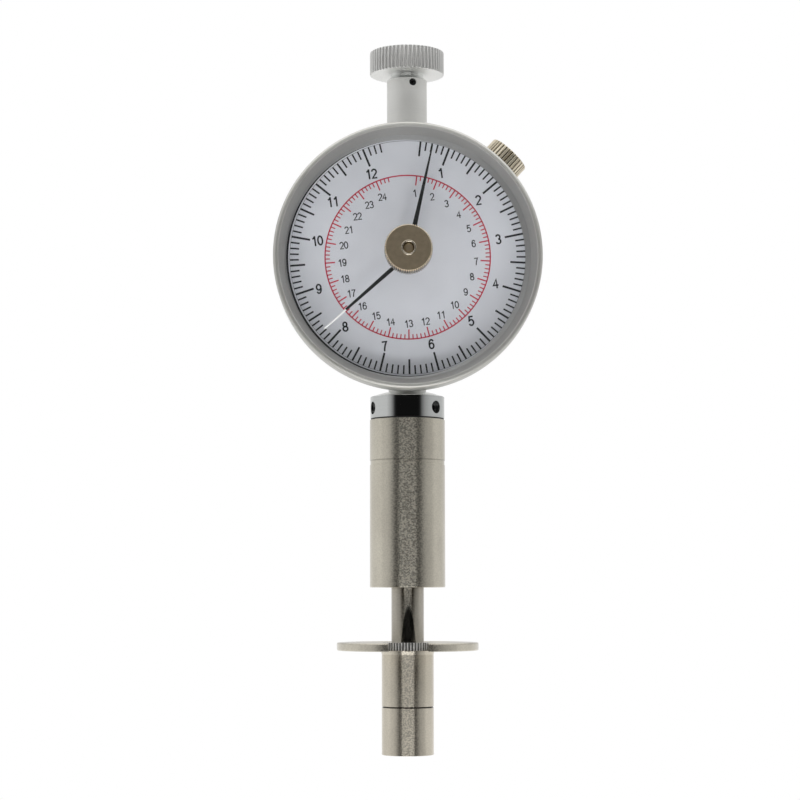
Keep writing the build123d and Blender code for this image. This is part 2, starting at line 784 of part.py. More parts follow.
with BuildPart() as rack:
    with BuildSketch(dial_plane(rack_rear)):
        with BuildLine():
            Polyline(*rack_corners, close=True)
        make_face()
    extrude(amount=rack_thickness)
    with BuildSketch(dial_plane(eye_rear)):
        with Locations(*[((rack_back_x + eye_right_x) / 2, middle) for middle in eye_middles]):
            Rectangle(eye_right_x - rack_back_x, rack_eye_height)
    extrude(amount=eye_rear - rack_front)
    with BuildSketch(Plane.XY.offset(dial_z + lower_eye_bottom)):
        Circle(spindle_radius + seat_clearance)
    extrude(amount=upper_eye_top - lower_eye_bottom, mode=Mode.SUBTRACT)
    for middle in eye_middles:
        with BuildSketch(Plane.YZ.offset(eye_right_x)):
            with Locations((0, dial_z + middle)):
                Circle(rack_screw_diameter / 2)
        extrude(amount=-rack_eye_wall, mode=Mode.SUBTRACT)
    with BuildSketch(Plane.YZ.offset(rack_back_x)):
        with Locations((0, dial_z - guide_pin_drop)):
            Circle(guide_pin_radius + seat_clearance)
    extrude(amount=-rack_back_x - spindle_radius, mode=Mode.SUBTRACT)

# Rack screws: one grub screw in each eye
with BuildPart() as rack_screws:
    for middle in eye_middles:
        with BuildSketch(Plane.YZ.offset(spindle_radius + seat_clearance)):
            with Locations((0, dial_z + middle)):
                Circle(rack_screw_diameter / 2 - seat_clearance)
        extrude(amount=rack_eye_wall - seat_clearance)
        with BuildSketch(Plane.YZ.offset(eye_right_x)):
            with Locations((0, dial_z + middle)):
                Rectangle(slot_width, rack_screw_diameter)
        extrude(amount=-slot_depth, mode=Mode.SUBTRACT)

# Guide pin: pressed into the lower eye, sliding in the channel
with BuildPart() as guide_pin:
    with BuildSketch(Plane.YZ.offset(-guide_pin_reach)):
        with Locations((0, dial_z - guide_pin_drop)):
            Circle(guide_pin_radius)
    extrude(amount=guide_pin_reach - spindle_radius - seat_clearance)

# Pinion arbor: involute pinion cut on the pointer's shaft, with a tooth towards the rack at rest
base_radius = pitch_radius * math.cos(math.radians(pressure_angle))
root_radius = pitch_radius - dedendum
tip_radius = pitch_radius + addendum
flank_steps = 3


def involute(radius):
    """Involute function at the point of a flank that lies at this radius."""
    angle = math.acos(min(1.0, base_radius / radius))
    return math.tan(angle) - angle


def pinion_outline():
    """Corners of the pinion's teeth, each flank an involute above the base circle and radial below it."""
    flank_rise = (tip_radius - base_radius) / flank_steps
    flank_radii = [root_radius] + [base_radius + flank_rise * step for step in range(flank_steps + 1)]
    pitch_half_angle = tooth_width / 2 / pitch_radius + involute(pitch_radius)
    flank = [(radius, pitch_half_angle - involute(max(radius, base_radius))) for radius in flank_radii]
    corners = []
    for tooth in range(pinion_teeth):
        middle = math.pi + 2 * math.pi * tooth / pinion_teeth
        rising = [(radius, middle - half_angle) for radius, half_angle in flank]
        falling = [(radius, middle + half_angle) for radius, half_angle in reversed(flank)]
        for radius, angle in rising + falling:
            corners.append((radius * math.cos(angle), radius * math.sin(angle)))
    return corners


with BuildPart() as pinion_arbor:
    with BuildSketch(dial_plane(pinion_front)):
        Circle(arbor_radius)
    extrude(amount=pinion_front - main_hub_front)
    with BuildSketch(dial_plane(pinion_rear)):
        with BuildLine():
            Polyline(*pinion_outline(), close=True)
        make_face()
    extrude(amount=pinion_width)
    with BuildSketch(dial_plane(cock_rear)):
        Circle(pivot_radius)
    extrude(amount=cock_rear - pinion_rear)

# Main pointer: tapered blade on a hub pressed over the arbor
main_pointer_back = dial_face - main_pointer_gap
with BuildPart() as main_pointer:
    with BuildSketch(dial_plane(main_hub_back)):
        Circle(pointer_hub_diameter / 2)
    extrude(amount=main_hub_height)
    with BuildSketch(pointer_plane(main_pointer_back, main_pointer_angle)):
        with BuildLine():
            Polyline(
                (0, -pointer_root_width / 2),
                (main_pointer_length, -main_pointer_tip_width / 2),
                (main_pointer_length, main_pointer_tip_width / 2),
                (0, pointer_root_width / 2),
                close=True,
            )
        make_face()
    extrude(amount=pointer_thickness)
    with BuildSketch(dial_plane(main_hub_back)):
        Circle(arbor_radius + seat_clearance)
    extrude(amount=main_hub_height, mode=Mode.SUBTRACT)

# Bezel: turned ring with a rounded crest, a funnel down to the crystal and a skirt over the case
snap_recess_radius = bezel_bore_radius + snap_ring_height / 2 + running_clearance
with BuildPart() as bezel:
    with BuildSketch(Plane.YZ):
        with BuildLine():
            Polyline(
                (bezel_crest, dial_z + bezel_crest_radius + bezel_crest_width),
                (bezel_crest, dial_z + bezel_crest_radius),
                (lip_rear, dial_z + bezel_lip_radius),
                (lip_rear, dial_z + bezel_bore_radius),
                (bezel_rear, dial_z + bezel_bore_radius),
                (bezel_rear, dial_z + bezel_radius - bezel_rear_bevel),
                (bezel_rear - bezel_rear_bevel, dial_z + bezel_radius),
                (bezel_crest + bezel_rounding, dial_z + bezel_radius),
            )
            RadiusArc(
                (bezel_crest + bezel_rounding, dial_z + bezel_radius),
                (bezel_crest, dial_z + bezel_crest_radius + bezel_crest_width),
                -bezel_rounding,
            )
        make_face()
    revolve(axis=dial_axis)
    with BuildSketch(dial_plane(snap_ring_middle + snap_ring_width / 2 + rest_gap)):
        Circle(snap_recess_radius)
    extrude(amount=snap_ring_width + 2 * rest_gap, mode=Mode.SUBTRACT)

# Bezel snap ring: split ring in the case groove that keeps the bezel on
with BuildPart() as bezel_snap_ring:
    with BuildSketch(dial_plane(snap_ring_middle + snap_ring_width / 2)):
        Circle(snap_groove_radius + snap_ring_height)
        Circle(snap_groove_radius, mode=Mode.SUBTRACT)
    extrude(amount=snap_ring_width)
    with BuildSketch(dial_plane(snap_ring_middle + snap_ring_width / 2)):
        with BuildLine():
            gap_half = math.radians(snap_ring_gap_angle / 2)
            Polyline(
                (0, 0),
                (case_diameter * math.sin(gap_half), -case_diameter * math.cos(gap_half)),
                (-case_diameter * math.sin(gap_half), -case_diameter * math.cos(gap_half)),
                close=True,
            )
        make_face()
    extrude(amount=snap_ring_width, mode=Mode.SUBTRACT)

# Dial plate
with BuildPart() as dial_plate:
    with BuildSketch(dial_plane(dial_back)):
        Circle(bezel_fill_radius)
        Circle(dial_hole / 2, mode=Mode.SUBTRACT)
    extrude(amount=dial_thickness)

# Dial ring: polished spacer that flares from the dial to the crystal
with BuildPart() as dial_ring:
    revolve(
        dial_turned(
            (dial_face, dial_ring_radius),
            (ring_front, dial_ring_radius + dial_ring_flare),
            (ring_front, bezel_fill_radius),
            (dial_face, bezel_fill_radius),
        ),
        axis=dial_axis,
    )

# Crystal: flanged dome with a short tapered side, bored for the reset bush
crystal_side_radius = bezel_lip_radius - running_clearance
crystal_shoulder_radius = crystal_side_radius - crystal_taper
crystal_dome_radius = (crystal_shoulder_radius**2 + crystal_crown**2) / (2 * crystal_crown)
crystal_inner_radius = crystal_shoulder_radius - crystal_wall
crystal_inner_dome_radius = (crystal_inner_radius**2 + crystal_crown**2) / (2 * crystal_crown)
crystal_bore_radius = crystal_bush_diameter / 2 + seat_clearance
bore_sag = crystal_dome_radius - math.sqrt(crystal_dome_radius**2 - crystal_bore_radius**2)
inner_bore_sag = crystal_inner_dome_radius - math.sqrt(crystal_inner_dome_radius**2 - crystal_bore_radius**2)
bore_front = (crystal_apex + bore_sag, dial_z + crystal_bore_radius)
bore_rear = (crystal_apex_inside + inner_bore_sag, dial_z + crystal_bore_radius)
with BuildPart() as crystal:
    with BuildSketch(Plane.YZ):
        with BuildLine():
            Line(bore_rear, bore_front)
            dome_outside = RadiusArc(
                bore_front,
                (crystal_shoulder, dial_z + crystal_shoulder_radius),
                crystal_dome_radius,
            )
            Polyline(
                dome_outside @ 1,
                (lip_rear, dial_z + crystal_side_radius),
                (lip_rear, dial_z + bezel_fill_radius),
                (ring_front, dial_z + bezel_fill_radius),
                (ring_front, dial_z + crystal_side_radius - crystal_wall),
                (crystal_shoulder + crystal_wall, dial_z + crystal_inner_radius),
            )
            RadiusArc(
                (crystal_shoulder + crystal_wall, dial_z + crystal_inner_radius),
                bore_rear,
                -crystal_inner_dome_radius,
            )
        make_face()
    revolve(axis=dial_axis)

# Crystal bush: riveted through the crystal as the reset arbor's bearing
reset_arbor_radius = reset_arbor_diameter / 2
reset_bore_radius = reset_arbor_radius + running_clearance
rivet_radius = crystal_bush_rivet / 2
rivet_sag = crystal_inner_dome_radius - math.sqrt(crystal_inner_dome_radius**2 - rivet_radius**2)
rivet_seat = crystal_apex_inside + rivet_sag
crystal_bush_rear = rivet_seat + crystal_bush_rivet_height
with BuildPart() as crystal_bush:
    revolve(
        dial_turned(
            (crystal_bush_front, reset_bore_radius),
            (crystal_bush_front, crystal_bush_flange / 2),
            (crystal_apex, crystal_bush_flange / 2),
            (crystal_apex, crystal_bush_diameter / 2),
            (rivet_seat, crystal_bush_diameter / 2),
            (rivet_seat, rivet_radius),
            (crystal_bush_rear, rivet_radius),
            (crystal_bush_rear, reset_bore_radius),
        ),
        axis=dial_axis,
    )

# Reset arbor: joins the knob to the peak pointer, with a riveted end in the knob's eye
knob_eye_floor = knob_face + knob_eye_depth
with BuildPart() as reset_arbor:
    revolve(
        dial_turned(
            (peak_hub_back, 0),
            (peak_hub_back, reset_arbor_radius),
            (knob_eye_floor, reset_arbor_radius),
            (knob_eye_floor, reset_rivet_diameter / 2),
            (knob_eye_floor - reset_rivet_height / 2, reset_rivet_diameter / 2),
            (knob_eye_floor - reset_rivet_height, reset_rivet_crown_diameter / 2),
            (knob_eye_floor - reset_rivet_height, 0),
        ),
        axis=dial_axis,
    )

# Friction washer: keeps the peak pointer where it was left
with BuildPart() as friction_washer:
    with BuildSketch(dial_plane(crystal_bush_front)):
        Circle(friction_washer_diameter / 2)
        Circle(reset_arbor_radius + seat_clearance, mode=Mode.SUBTRACT)
    extrude(amount=friction_washer_thickness)

# Reset knob: finely knurled, with a raised ring round the arbor's end
knob_radius = knob_diameter / 2
with BuildPart() as reset_knob:
    with BuildSketch(dial_plane(knob_back)):
        with BuildLine():
            Polyline(*knurl_outline(knob_radius, knob_tooth_depth, knob_teeth), close=True)
        make_face()
    extrude(amount=knob_thickness)
    add(
        bevelled_blank(dial_plane(knob_back), knob_radius, knob_thickness, knob_bevel, knob_teeth),
        mode=Mode.INTERSECT,
    )
    with BuildSketch(dial_plane(knob_face)):
        Circle(knob_ring_diameter / 2)
    extrude(amount=knob_ring_height)
    with BuildSketch(dial_plane(knob_eye_floor)):
        Circle(knob_eye_diameter / 2)
    extrude(amount=knob_eye_depth + knob_ring_height, mode=Mode.SUBTRACT)
    with BuildSketch(dial_plane(knob_back)):
        Circle(reset_arbor_radius + seat_clearance)
    extrude(amount=knob_thickness, mode=Mode.SUBTRACT)

# Peak pointer: blade with a fine tip, left at the highest reading
peak_pointer_back = dial_face - peak_pointer_gap
peak_hub_front = crystal_bush_rear + moving_gap
with BuildPart() as peak_pointer:
    with BuildSketch(dial_plane(peak_hub_back)):
        Circle(pointer_hub_diameter / 2)
    extrude(amount=peak_hub_back - peak_hub_front)
    with BuildSketch(pointer_plane(peak_pointer_back, peak_pointer_angle)):
        with BuildLine():
            Polyline(
                (0, -pointer_root_width / 2),
                (peak_blade_length, -peak_blade_width / 2),
                (peak_blade_length, -peak_tip_width / 2),
                (peak_pointer_length, -peak_tip_width / 2),
                (peak_pointer_length, peak_tip_width / 2),
                (peak_blade_length, peak_tip_width / 2),
                (peak_blade_length, peak_blade_width / 2),
                (0, pointer_root_width / 2),
                close=True,
            )
        make_face()
    extrude(amount=pointer_thickness)
    with BuildSketch(dial_plane(peak_hub_back)):
        Circle(reset_arbor_radius + seat_clearance)
    extrude(amount=peak_hub_back - peak_hub_front, mode=Mode.SUBTRACT)

# Bezel clamp: shoe on the case wall, just behind the bezel's rear edge
shoe_front = bezel_rear + moving_gap
shoe_top = case_radius + shoe_thickness
with BuildPart() as bezel_clamp:
    with BuildSketch(lock_plane(shoe_top)):
        with Locations(((shoe_front + shoe_rear_reach) / 2, 0)):
            RectangleRounded(shoe_rear_reach - shoe_front, shoe_width, radius=shoe_corner_radius)
        Circle(lock_hole_radius, mode=Mode.SUBTRACT)
    extrude(amount=-2 * shoe_thickness)
    with BuildSketch(dial_plane(shoe_rear_reach)):
        Circle(case_radius + seat_clearance)
    extrude(amount=shoe_rear_reach - shoe_front, mode=Mode.SUBTRACT)

# Lock screw: knurled thumb screw that presses the shoe
lock_head_radius = lock_head_diameter / 2
lock_head_start = shoe_top + rest_gap
with BuildPart() as lock_screw:
    with BuildSketch(lock_plane(lock_head_start)):
        with BuildLine():
            Polyline(*knurl_outline(lock_head_radius, lock_tooth_depth, lock_head_teeth), close=True)
        make_face()
    extrude(amount=lock_head_length)
    add(
        bevelled_blank(
            lock_plane(lock_head_start), lock_head_radius, lock_head_length, lock_head_bevel, lock_head_teeth
        ),
        mode=Mode.INTERSECT,
    )
    with BuildSketch(lock_plane(case_inner_radius - lock_shank_inside)):
        Circle(lock_shank_diameter / 2)
    extrude(amount=lock_head_start - case_inner_radius + lock_shank_inside)

pieces = {
    "pressure_head": pressure_head,
    "splash_guard": splash_guard,
    "plunger_rod": plunger_rod,
    "spring_follower": spring_follower,
    "spindle": spindle,
    "rack": rack,
    "rack_screws": rack_screws,
    "guide_pin": guide_pin,
    "barrel": barrel,
    "lower_bush": lower_bush,
    "force_spring": force_spring,
    "clamp_collar": clamp_collar,
    "collar_set_screws": collar_set_screws,
    "lower_stem": lower_stem,
    "upper_stem": upper_stem,
    "press_cap": press_cap,
    "cap_set_screw": cap_set_screw,
    "case_body": case_body,
    "back_cover": back_cover,
    "back_cover_screws": back_cover_screws,
    "front_bush": front_bush,
    "pinion_cock": pinion_cock,
    "cock_screws": cock_screws,
    "guide_channel": guide_channel,
    "guide_channel_screws": guide_channel_screws,
    "bezel_clamp": bezel_clamp,
    "bezel_snap_ring": bezel_snap_ring,
    "pinion_arbor": pinion_arbor,
    "main_pointer": main_pointer,
    "bezel": bezel,
    "dial_plate": dial_plate,
    "dial_ring": dial_ring,
    "crystal": crystal,
    "crystal_bush": crystal_bush,
    "reset_arbor": reset_arbor,
    "friction_washer": friction_washer,
    "reset_knob": reset_knob,
    "peak_pointer": peak_pointer,
    "lock_screw": lock_screw,
}

os.makedirs("parts", exist_ok=True)
for name, piece in pieces.items():
    piece.part.label = name
    export_step(piece.part, f"parts/{name}.step")
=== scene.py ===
import math

import bmesh
import bpy
from mathutils import Matrix, Vector


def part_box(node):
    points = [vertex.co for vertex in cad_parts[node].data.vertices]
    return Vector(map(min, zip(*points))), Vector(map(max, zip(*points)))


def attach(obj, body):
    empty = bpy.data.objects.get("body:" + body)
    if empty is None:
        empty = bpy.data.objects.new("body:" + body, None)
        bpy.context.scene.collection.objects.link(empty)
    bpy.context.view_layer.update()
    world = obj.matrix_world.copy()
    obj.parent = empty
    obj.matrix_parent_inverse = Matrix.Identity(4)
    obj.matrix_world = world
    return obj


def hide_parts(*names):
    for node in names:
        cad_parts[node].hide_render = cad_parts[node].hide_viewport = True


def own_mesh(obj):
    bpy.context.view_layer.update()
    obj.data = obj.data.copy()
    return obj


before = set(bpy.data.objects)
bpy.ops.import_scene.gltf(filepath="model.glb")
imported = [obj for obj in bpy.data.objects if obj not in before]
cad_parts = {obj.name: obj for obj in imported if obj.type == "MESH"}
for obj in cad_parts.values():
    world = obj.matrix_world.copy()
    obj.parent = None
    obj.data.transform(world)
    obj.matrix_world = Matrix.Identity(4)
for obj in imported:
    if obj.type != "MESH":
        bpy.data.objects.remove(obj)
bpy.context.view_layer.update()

scene = bpy.context.scene

MM = 0.001
TINY = 1e-7
FINE = 192
SMALL = 64
FIT = 0.02
PAST = 1


# Places read from the solids, in millimetres
def span(node, axis=2):
    """Lowest and highest place of a CAD node along an axis, 0 to 2 for x to z."""
    low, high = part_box(node)
    return low[axis] / MM, high[axis] / MM


def forward(node):
    """Rear and front of a CAD node along the dial axis, with forward as positive."""
    front, rear = span(node, 1)
    return -rear, -front


def radius_of(node):
    """Half of a CAD node's width."""
    low, high = span(node, 0)
    return (high - low) / 2


dial_z = sum(span("bezel")) / 2
head_bottom = span("pressure_head")[0]
guard_bottom, guard_top = span("splash_guard")
rod_bottom, rod_top = span("plunger_rod")
barrel_bottom, barrel_top = span("barrel")
collar_bottom, collar_top = span("clamp_collar")
stem_bottom, stem_top = span("upper_stem")
cap_bottom, cap_top = span("press_cap")

base_frame = Matrix.Identity(4)
dial_frame = Matrix(((1, 0, 0, 0), (0, 0, -1, 0), (0, 1, 0, dial_z * MM), (0, 0, 0, 1)))
LOCK_ANGLE = math.radians(43)
LOCK_X, LOCK_Z = math.sin(LOCK_ANGLE), math.cos(LOCK_ANGLE)
lock_frame = Matrix(((0, -LOCK_Z, LOCK_X, 0), (1, 0, 0, 0), (0, LOCK_X, LOCK_Z, dial_z * MM), (0, 0, 0, 1)))

# Mesh helpers
ROUND_STEPS = 4
ROUND_LEAN = 0.06
FLAT_LEAN = 0.01
CREASE = 25
KNURL_CREASE = 42


def soften(corners):
    """Profile whose corners of (radius, height, softness) are rounded by that length."""
    points = []
    for index, corner in enumerate(corners):
        here = Vector(corner[:2])
        if len(corner) < 3:
            points.append((here.x, here.y))
            continue
        soft = corner[2]
        before = Vector(corners[index - 1][:2])
        after = Vector(corners[(index + 1) % len(corners)][:2])
        start = here + (before - here).normalized() * soft
        end = here + (after - here).normalized() * soft
        for step in range(ROUND_STEPS + 1):
            share = step / ROUND_STEPS
            point = start * (1 - share) ** 2 + here * 2 * share * (1 - share) + end * share**2
            points.append((point.x, point.y))
    return points


def placed(name, data):
    """New object of the scene."""
    made = bpy.data.objects.new(name, data)
    scene.collection.objects.link(made)
    return made


def finished(shape):
    """Mesh of a shape, with its faces turned outward."""
    bmesh.ops.recalc_face_normals(shape, faces=shape.faces)
    mesh = bpy.data.meshes.new("finished")
    shape.to_mesh(mesh)
    shape.free()
    return mesh


def join(shape, rows, closed):
    """Faces between each row of vertices and the next, where a row of one vertex is a point."""
    pairs = list(zip(rows, rows[1:]))
    if closed:
        pairs.append((rows[-1], rows[0]))
    for near, far in pairs:
        for index in range(max(len(near), len(far))):
            corners = ((near, index), (near, index + 1), (far, index + 1), (far, index))
            face = list(dict.fromkeys(row[place % len(row)] for row, place in corners))
            if len(face) > 2:
                shape.faces.new(face)


def bar(shape, rows, closed=False):
    """Faces of a bar through rows of vertices, closed to a ring or capped at both ends."""
    if not closed:
        shape.faces.new(rows[0])
        shape.faces.new(rows[-1][::-1])
    join(shape, rows, closed)


def spun(rings, count=FINE):
    """Mesh of rings of (radius or list of radii, height) round the z axis, noting how deep each vertex lies
    in its grooves.

    Rings that start on the axis also end on it, and all others close to a ring.
    """
    shape = bmesh.new()
    soil = shape.verts.layers.float.new("soil")
    rows = []
    for radius, height in rings:
        radii = radius if isinstance(radius, list) else [radius] * count
        tip, depth = max(radii), max(radii) - min(radii)
        if tip < TINY:
            rows.append([shape.verts.new((0, 0, height * MM))])
            continue
        row = []
        for index, value in enumerate(radii):
            angle = 2 * math.pi * index / count
            reach = value * MM
            vertex = shape.verts.new((reach * math.cos(angle), reach * math.sin(angle), height * MM))
            vertex[soil] = (tip - value) / depth if depth > TINY else 0
            row.append(vertex)
        rows.append(row)
    join(shape, rows, closed=rings[0][0] != 0)
    return finished(shape)


def turned_shading(mesh):
    """Shades a turned mesh as round: a face's normal turns about the z axis to each of its corners."""
    normals = [Vector((0, 0, 1))] * len(mesh.loops)
    for face in mesh.polygons:
        normal = face.normal.copy()
        outward = Vector((face.center.x, face.center.y, 0))
        flat = Vector((normal.x, normal.y, 0))
        base = math.atan2(normal.y, normal.x)
        if flat.dot(outward) < 0:
            base += math.pi
        across = Vector((-outward.y, outward.x, 0))
        round_face = outward.length > TINY and abs(normal.dot(across.normalized())) < ROUND_LEAN
        for index in face.loop_indices:
            place = mesh.vertices[mesh.loops[index].vertex_index].co
            if round_face and flat.length > FLAT_LEAN and place.xy.length > TINY:
                turn = math.atan2(place.y, place.x) - base
                normals[index] = Matrix.Rotation(turn, 3, "Z") @ normal
            else:
                normals[index] = normal
    mesh.shade_smooth()
    mesh.normals_split_custom_set(normals)
    return mesh


def creased(mesh, degrees=CREASE):
    """Smooth shading that keeps the edges sharper than an angle."""
    mesh.shade_smooth()
    mesh.set_sharp_from_angle(angle=math.radians(degrees))
    return mesh


def cut(mesh, cutters):
    """The mesh with other meshes of the same frame taken out of it."""
    blank = placed("blank", mesh)
    tools = [placed("cutter", cutter) for cutter in cutters]
    for tool in tools:
        step = blank.modifiers.new("cut", "BOOLEAN")
        step.operation = "DIFFERENCE"
        step.solver = "EXACT"
        step.object = tool
    evaluated = blank.evaluated_get(bpy.context.evaluated_depsgraph_get())
    result = bpy.data.meshes.new_from_object(evaluated)
    for helper in [blank, *tools]:
        bpy.data.objects.remove(helper)
    return result


def lathe(corners, count=FINE, cutters=()):
    """Turned mesh from a profile of (radius, height, softness) corners, with cutters taken out of it."""
    mesh = spun(soften(corners), count)
    return turned_shading(cut(mesh, cutters) if cutters else mesh)


def box_cutter(low, high):
    """Plain box between two corners, used as a cutter."""
    shape = bmesh.new()
    bmesh.ops.create_cube(shape, size=1)
    for vertex in shape.verts:
        places = zip(low, high, vertex.co)
        vertex.co = [(start + (end - start) * (share + 0.5)) * MM for start, end, share in places]
    return finished(shape)


def drill(radius, start, end, matrix):
    """Cylinder along a frame's z axis, used as a cutter."""
    mesh = spun([(0, start), (radius, start), (radius, end), (0, end)], SMALL)
    mesh.transform(matrix)
    return mesh


def joined(meshes):
    shape = bmesh.new()
    for mesh in meshes:
        shape.from_mesh(mesh)
    return finished(shape)


def radial_frame(height, angle):
    """Frame on the plunger axis whose z axis points outward, at an angle from the front to the right."""
    turned = Matrix.Rotation(math.radians(angle), 4, "Z") @ Matrix.Rotation(math.pi / 2, 4, "X")
    return Matrix.Translation((0, 0, height * MM)) @ turned


BEVEL_STEPS = 4
TOOTH_STEPS = 12
FLAT_TOOTH = [0, 1, 1, 0]
BROAD_TOOTH = [0, 0, 0, 0, 0, 0, 0, 0.2, 0.8, 1, 0.8, 0.2]
ROUND_TOOTH = [0.5 - 0.5 * math.cos(2 * math.pi * step / TOOTH_STEPS) for step in range(TOOTH_STEPS)]


def knurl(tip, depth, teeth, trim, tooth):
    """Radii round one ring of a straight knurl, trimmed to a turned radius."""
    return [min(trim, tip - depth * share) for share in tooth * teeth]


def knurled(below, tip, depth, teeth, start, end, bevel, tooth, above):
    """Mesh of a knurled band whose two ends are bevelled by turning, between plain rings."""
    shares = [step / BEVEL_STEPS for step in range(BEVEL_STEPS + 1)]
    places = [(bevel * (1 - share), start + bevel * share) for share in shares]
    places += [(bevel * share, end - bevel * (1 - share)) for share in shares]
    band = [(knurl(tip, depth, teeth, tip - inset, tooth), height) for inset, height in places]
    return creased(spun([*below, *band, *above], len(tooth) * teeth), KNURL_CREASE)


def piece(name, mesh, matrix, body, material, slot, *nodes):
    """Places a mesh on a body as a piece that stands for CAD nodes."""
    mesh.name = name
    mesh.materials.clear()
    mesh.materials.append(material)
    shown = placed(name, mesh)
    shown.matrix_world = matrix
    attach(shown, body)
    if nodes:
        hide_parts(*nodes)
    return shown


def dress(material, *nodes):
    """Gives CAD nodes a finished material."""
    for node in nodes:
        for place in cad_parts[node].material_slots:
            place.material = material


# Material helpers
class Nodes:
    """Short ways to add nodes to a tree, where a value is a socket, a number or a colour."""

    def __init__(self, tree):
        self.tree = tree

    def put(self, value, socket):
        """Links a value to a socket, or sets it there."""
        if isinstance(value, bpy.types.NodeSocket):
            self.tree.links.new(value, socket)
        else:
            socket.default_value = value

    def result(self, kind, values, output, **settings):
        """An output of a new shader node of a kind, whose inputs, by place or name, take the values."""
        made = self.tree.nodes.new("ShaderNode" + kind)
        for key, value in settings.items():
            setattr(made, key, value)
        for place, value in values.items():
            self.put(value, made.inputs[place])
        return made.outputs[output]

    def math(self, operation, first, second=0.0):
        return self.result("Math", {0: first, 1: second}, "Value", operation=operation)

    def multiplied(self, vector, factors):
        return self.result("VectorMath", {0: vector, 1: factors}, "Vector", operation="MULTIPLY")

    def part(self, vector, letter):
        return self.result("SeparateXYZ", {"Vector": vector}, letter)

    def bearing(self, vector):
        """Angle of a vector round the z axis in radians, from the front to the right."""
        forward_part = self.math("MULTIPLY", self.part(vector, "Y"), -1.0)
        return self.math("ARCTAN2", self.part(vector, "X"), forward_part)

    def mapped(self, value, low, high, first, last):
        """A value that goes from the first at a low value to the last at a high one."""
        return self.result("MapRange", {0: value, 1: low, 2: high, 3: first, 4: last}, "Result")

    def ramp(self, value, *stops):
        """Colour ramp of (place, grey or colour) stops."""
        made = self.tree.nodes.new("ShaderNodeValToRGB")
        elements = made.color_ramp.elements
        while len(elements) < len(stops):
            elements.new(0.5)
        for element, (place, color) in zip(elements, stops):
            element.position = place
            element.color = (*color, 1) if isinstance(color, tuple) else (color, color, color, 1)
        self.put(value, made.inputs["Fac"])
        return made.outputs["Color"]

    def mix(self, factor, first, second, blend="MIX"):
        values = {0: factor, 6: first, 7: second}
        return self.result("Mix", values, 2, data_type="RGBA", blend_type=blend)

    def ray(self, kind):
        """Whether a ray is of a kind, such as Camera."""
        return self.result("LightPath", {}, f"Is {kind} Ray")


class Finish(Nodes):
    """A material with a principled shader, patterned by its object's own coordinates in millimetres."""

    def __init__(self, name, color, metallic, roughness):
        self.material = bpy.data.materials.new(name)
        self.material.use_nodes = True
        super().__init__(self.material.node_tree)
        self.shader = self.tree.nodes["Principled BSDF"]
        self.drive((*color, 1), "Base Color")
        self.drive(metallic, "Metallic")
        self.drive(roughness, "Roughness")
        coordinates = self.result("TexCoord", {}, "Object")
        self.places = self.multiplied(coordinates, (1 / MM, 1 / MM, 1 / MM))

    def drive(self, value, socket):
        self.put(value, self.shader.inputs[socket])

    def show(self, surface):
        """Makes another shader's output the material's surface."""
        self.put(surface, self.tree.nodes["Material Output"].inputs["Surface"])

    def stretched(self, x, y, z):
        return self.multiplied(self.places, (x, y, z))

    def axis(self, letter):
        return self.part(self.places, letter)

    def length(self, vector):
        return self.result("VectorMath", {0: vector}, "Value", operation="LENGTH")

    def rings(self):
        """Coordinates that are the same all round the z axis."""
        values = {"X": self.length(self.stretched(1, 1, 0)), "Z": self.axis("Z")}
        return self.result("CombineXYZ", values, "Vector")

    def noise(self, vector, scale, detail, rough):
        values = {"Vector": vector, "Scale": scale, "Detail": detail, "Roughness": rough}
        return self.result("TexNoise", values, "Fac")

    def bump(self, height, strength, distance):
        values = {"Strength": strength, "Distance": distance * MM, "Height": height}
        self.drive(self.result("Bump", values, "Normal"), "Normal")

    def soil(self):
        """How deep a place lies in a knurl, 0 to 1."""
        return self.result("Attribute", {}, "Fac", attribute_name="soil")

    def dulled(self, tone, share):
        """The tone multiplied by a share."""
        return self.mix(1.0, tone, share, "MULTIPLY")

    def residue(self, tone, depth, dirt_and_shade):
        """The tone darkened by dirt and painted shade where the depth is near 1."""
        return self.dulled(tone, self.ramp(depth, (0.3, 1.0), (0.8, dirt_and_shade)))

    def speckled(self, tone, grain, front_speckle_depth):
        """The tone with dark spots of a grain, a painted reflection speckle that is strongest along the front
        of a turned piece.
        """
        aside = self.math("ABSOLUTE", self.bearing(self.places))
        depth = self.ramp(aside, (0.22, front_speckle_depth), (0.5, 0.1))
        spots = self.math("MULTIPLY", depth, self.ramp(grain, (0.40, 1.0), (0.60, 0.0)))
        return self.dulled(tone, self.math("SUBTRACT", 1.0, spots))

    def brushed(self, amount):
        """Highlights stretched along the axis of a piece turned about z."""
        self.drive(amount, "Anisotropic")
        self.drive(0.25, "Anisotropic Rotation")
        tangent = self.result("Tangent", {}, "Tangent", direction_type="RADIAL", axis="Z")
        self.drive(tangent, "Tangent")


def turned_metal(name, dark, light, smooth, coarse, speckle, front_speckle_depth, anisotropy):
    """Finish of turned metal with fine marks, a spotty polish with painted reflection speckle along its
    front, and stains; also its tone and roughness.
    """
    look = Finish(name, light, 1.0, coarse)
    grain = look.noise(look.stretched(1, 1, 1.3), speckle, 2, 0.5)
    stain = look.noise(look.stretched(0.25, 0.25, 0.09), 1.0, 4, 0.6)
    # Dark grain spots along the front are painted reflection speckle.
    tone = look.speckled(look.ramp(stain, (0.3, dark), (0.7, light)), grain, front_speckle_depth)
    marks = look.noise(look.stretched(0.15, 0.15, 9), 1.0, 2, 0.5)
    look.bump(marks, 0.12, 0.02)
    if anisotropy:
        look.brushed(anisotropy)
    return look, tone, look.ramp(grain, (0.34, smooth), (0.66, coarse))


HALF_LINE = 0.13


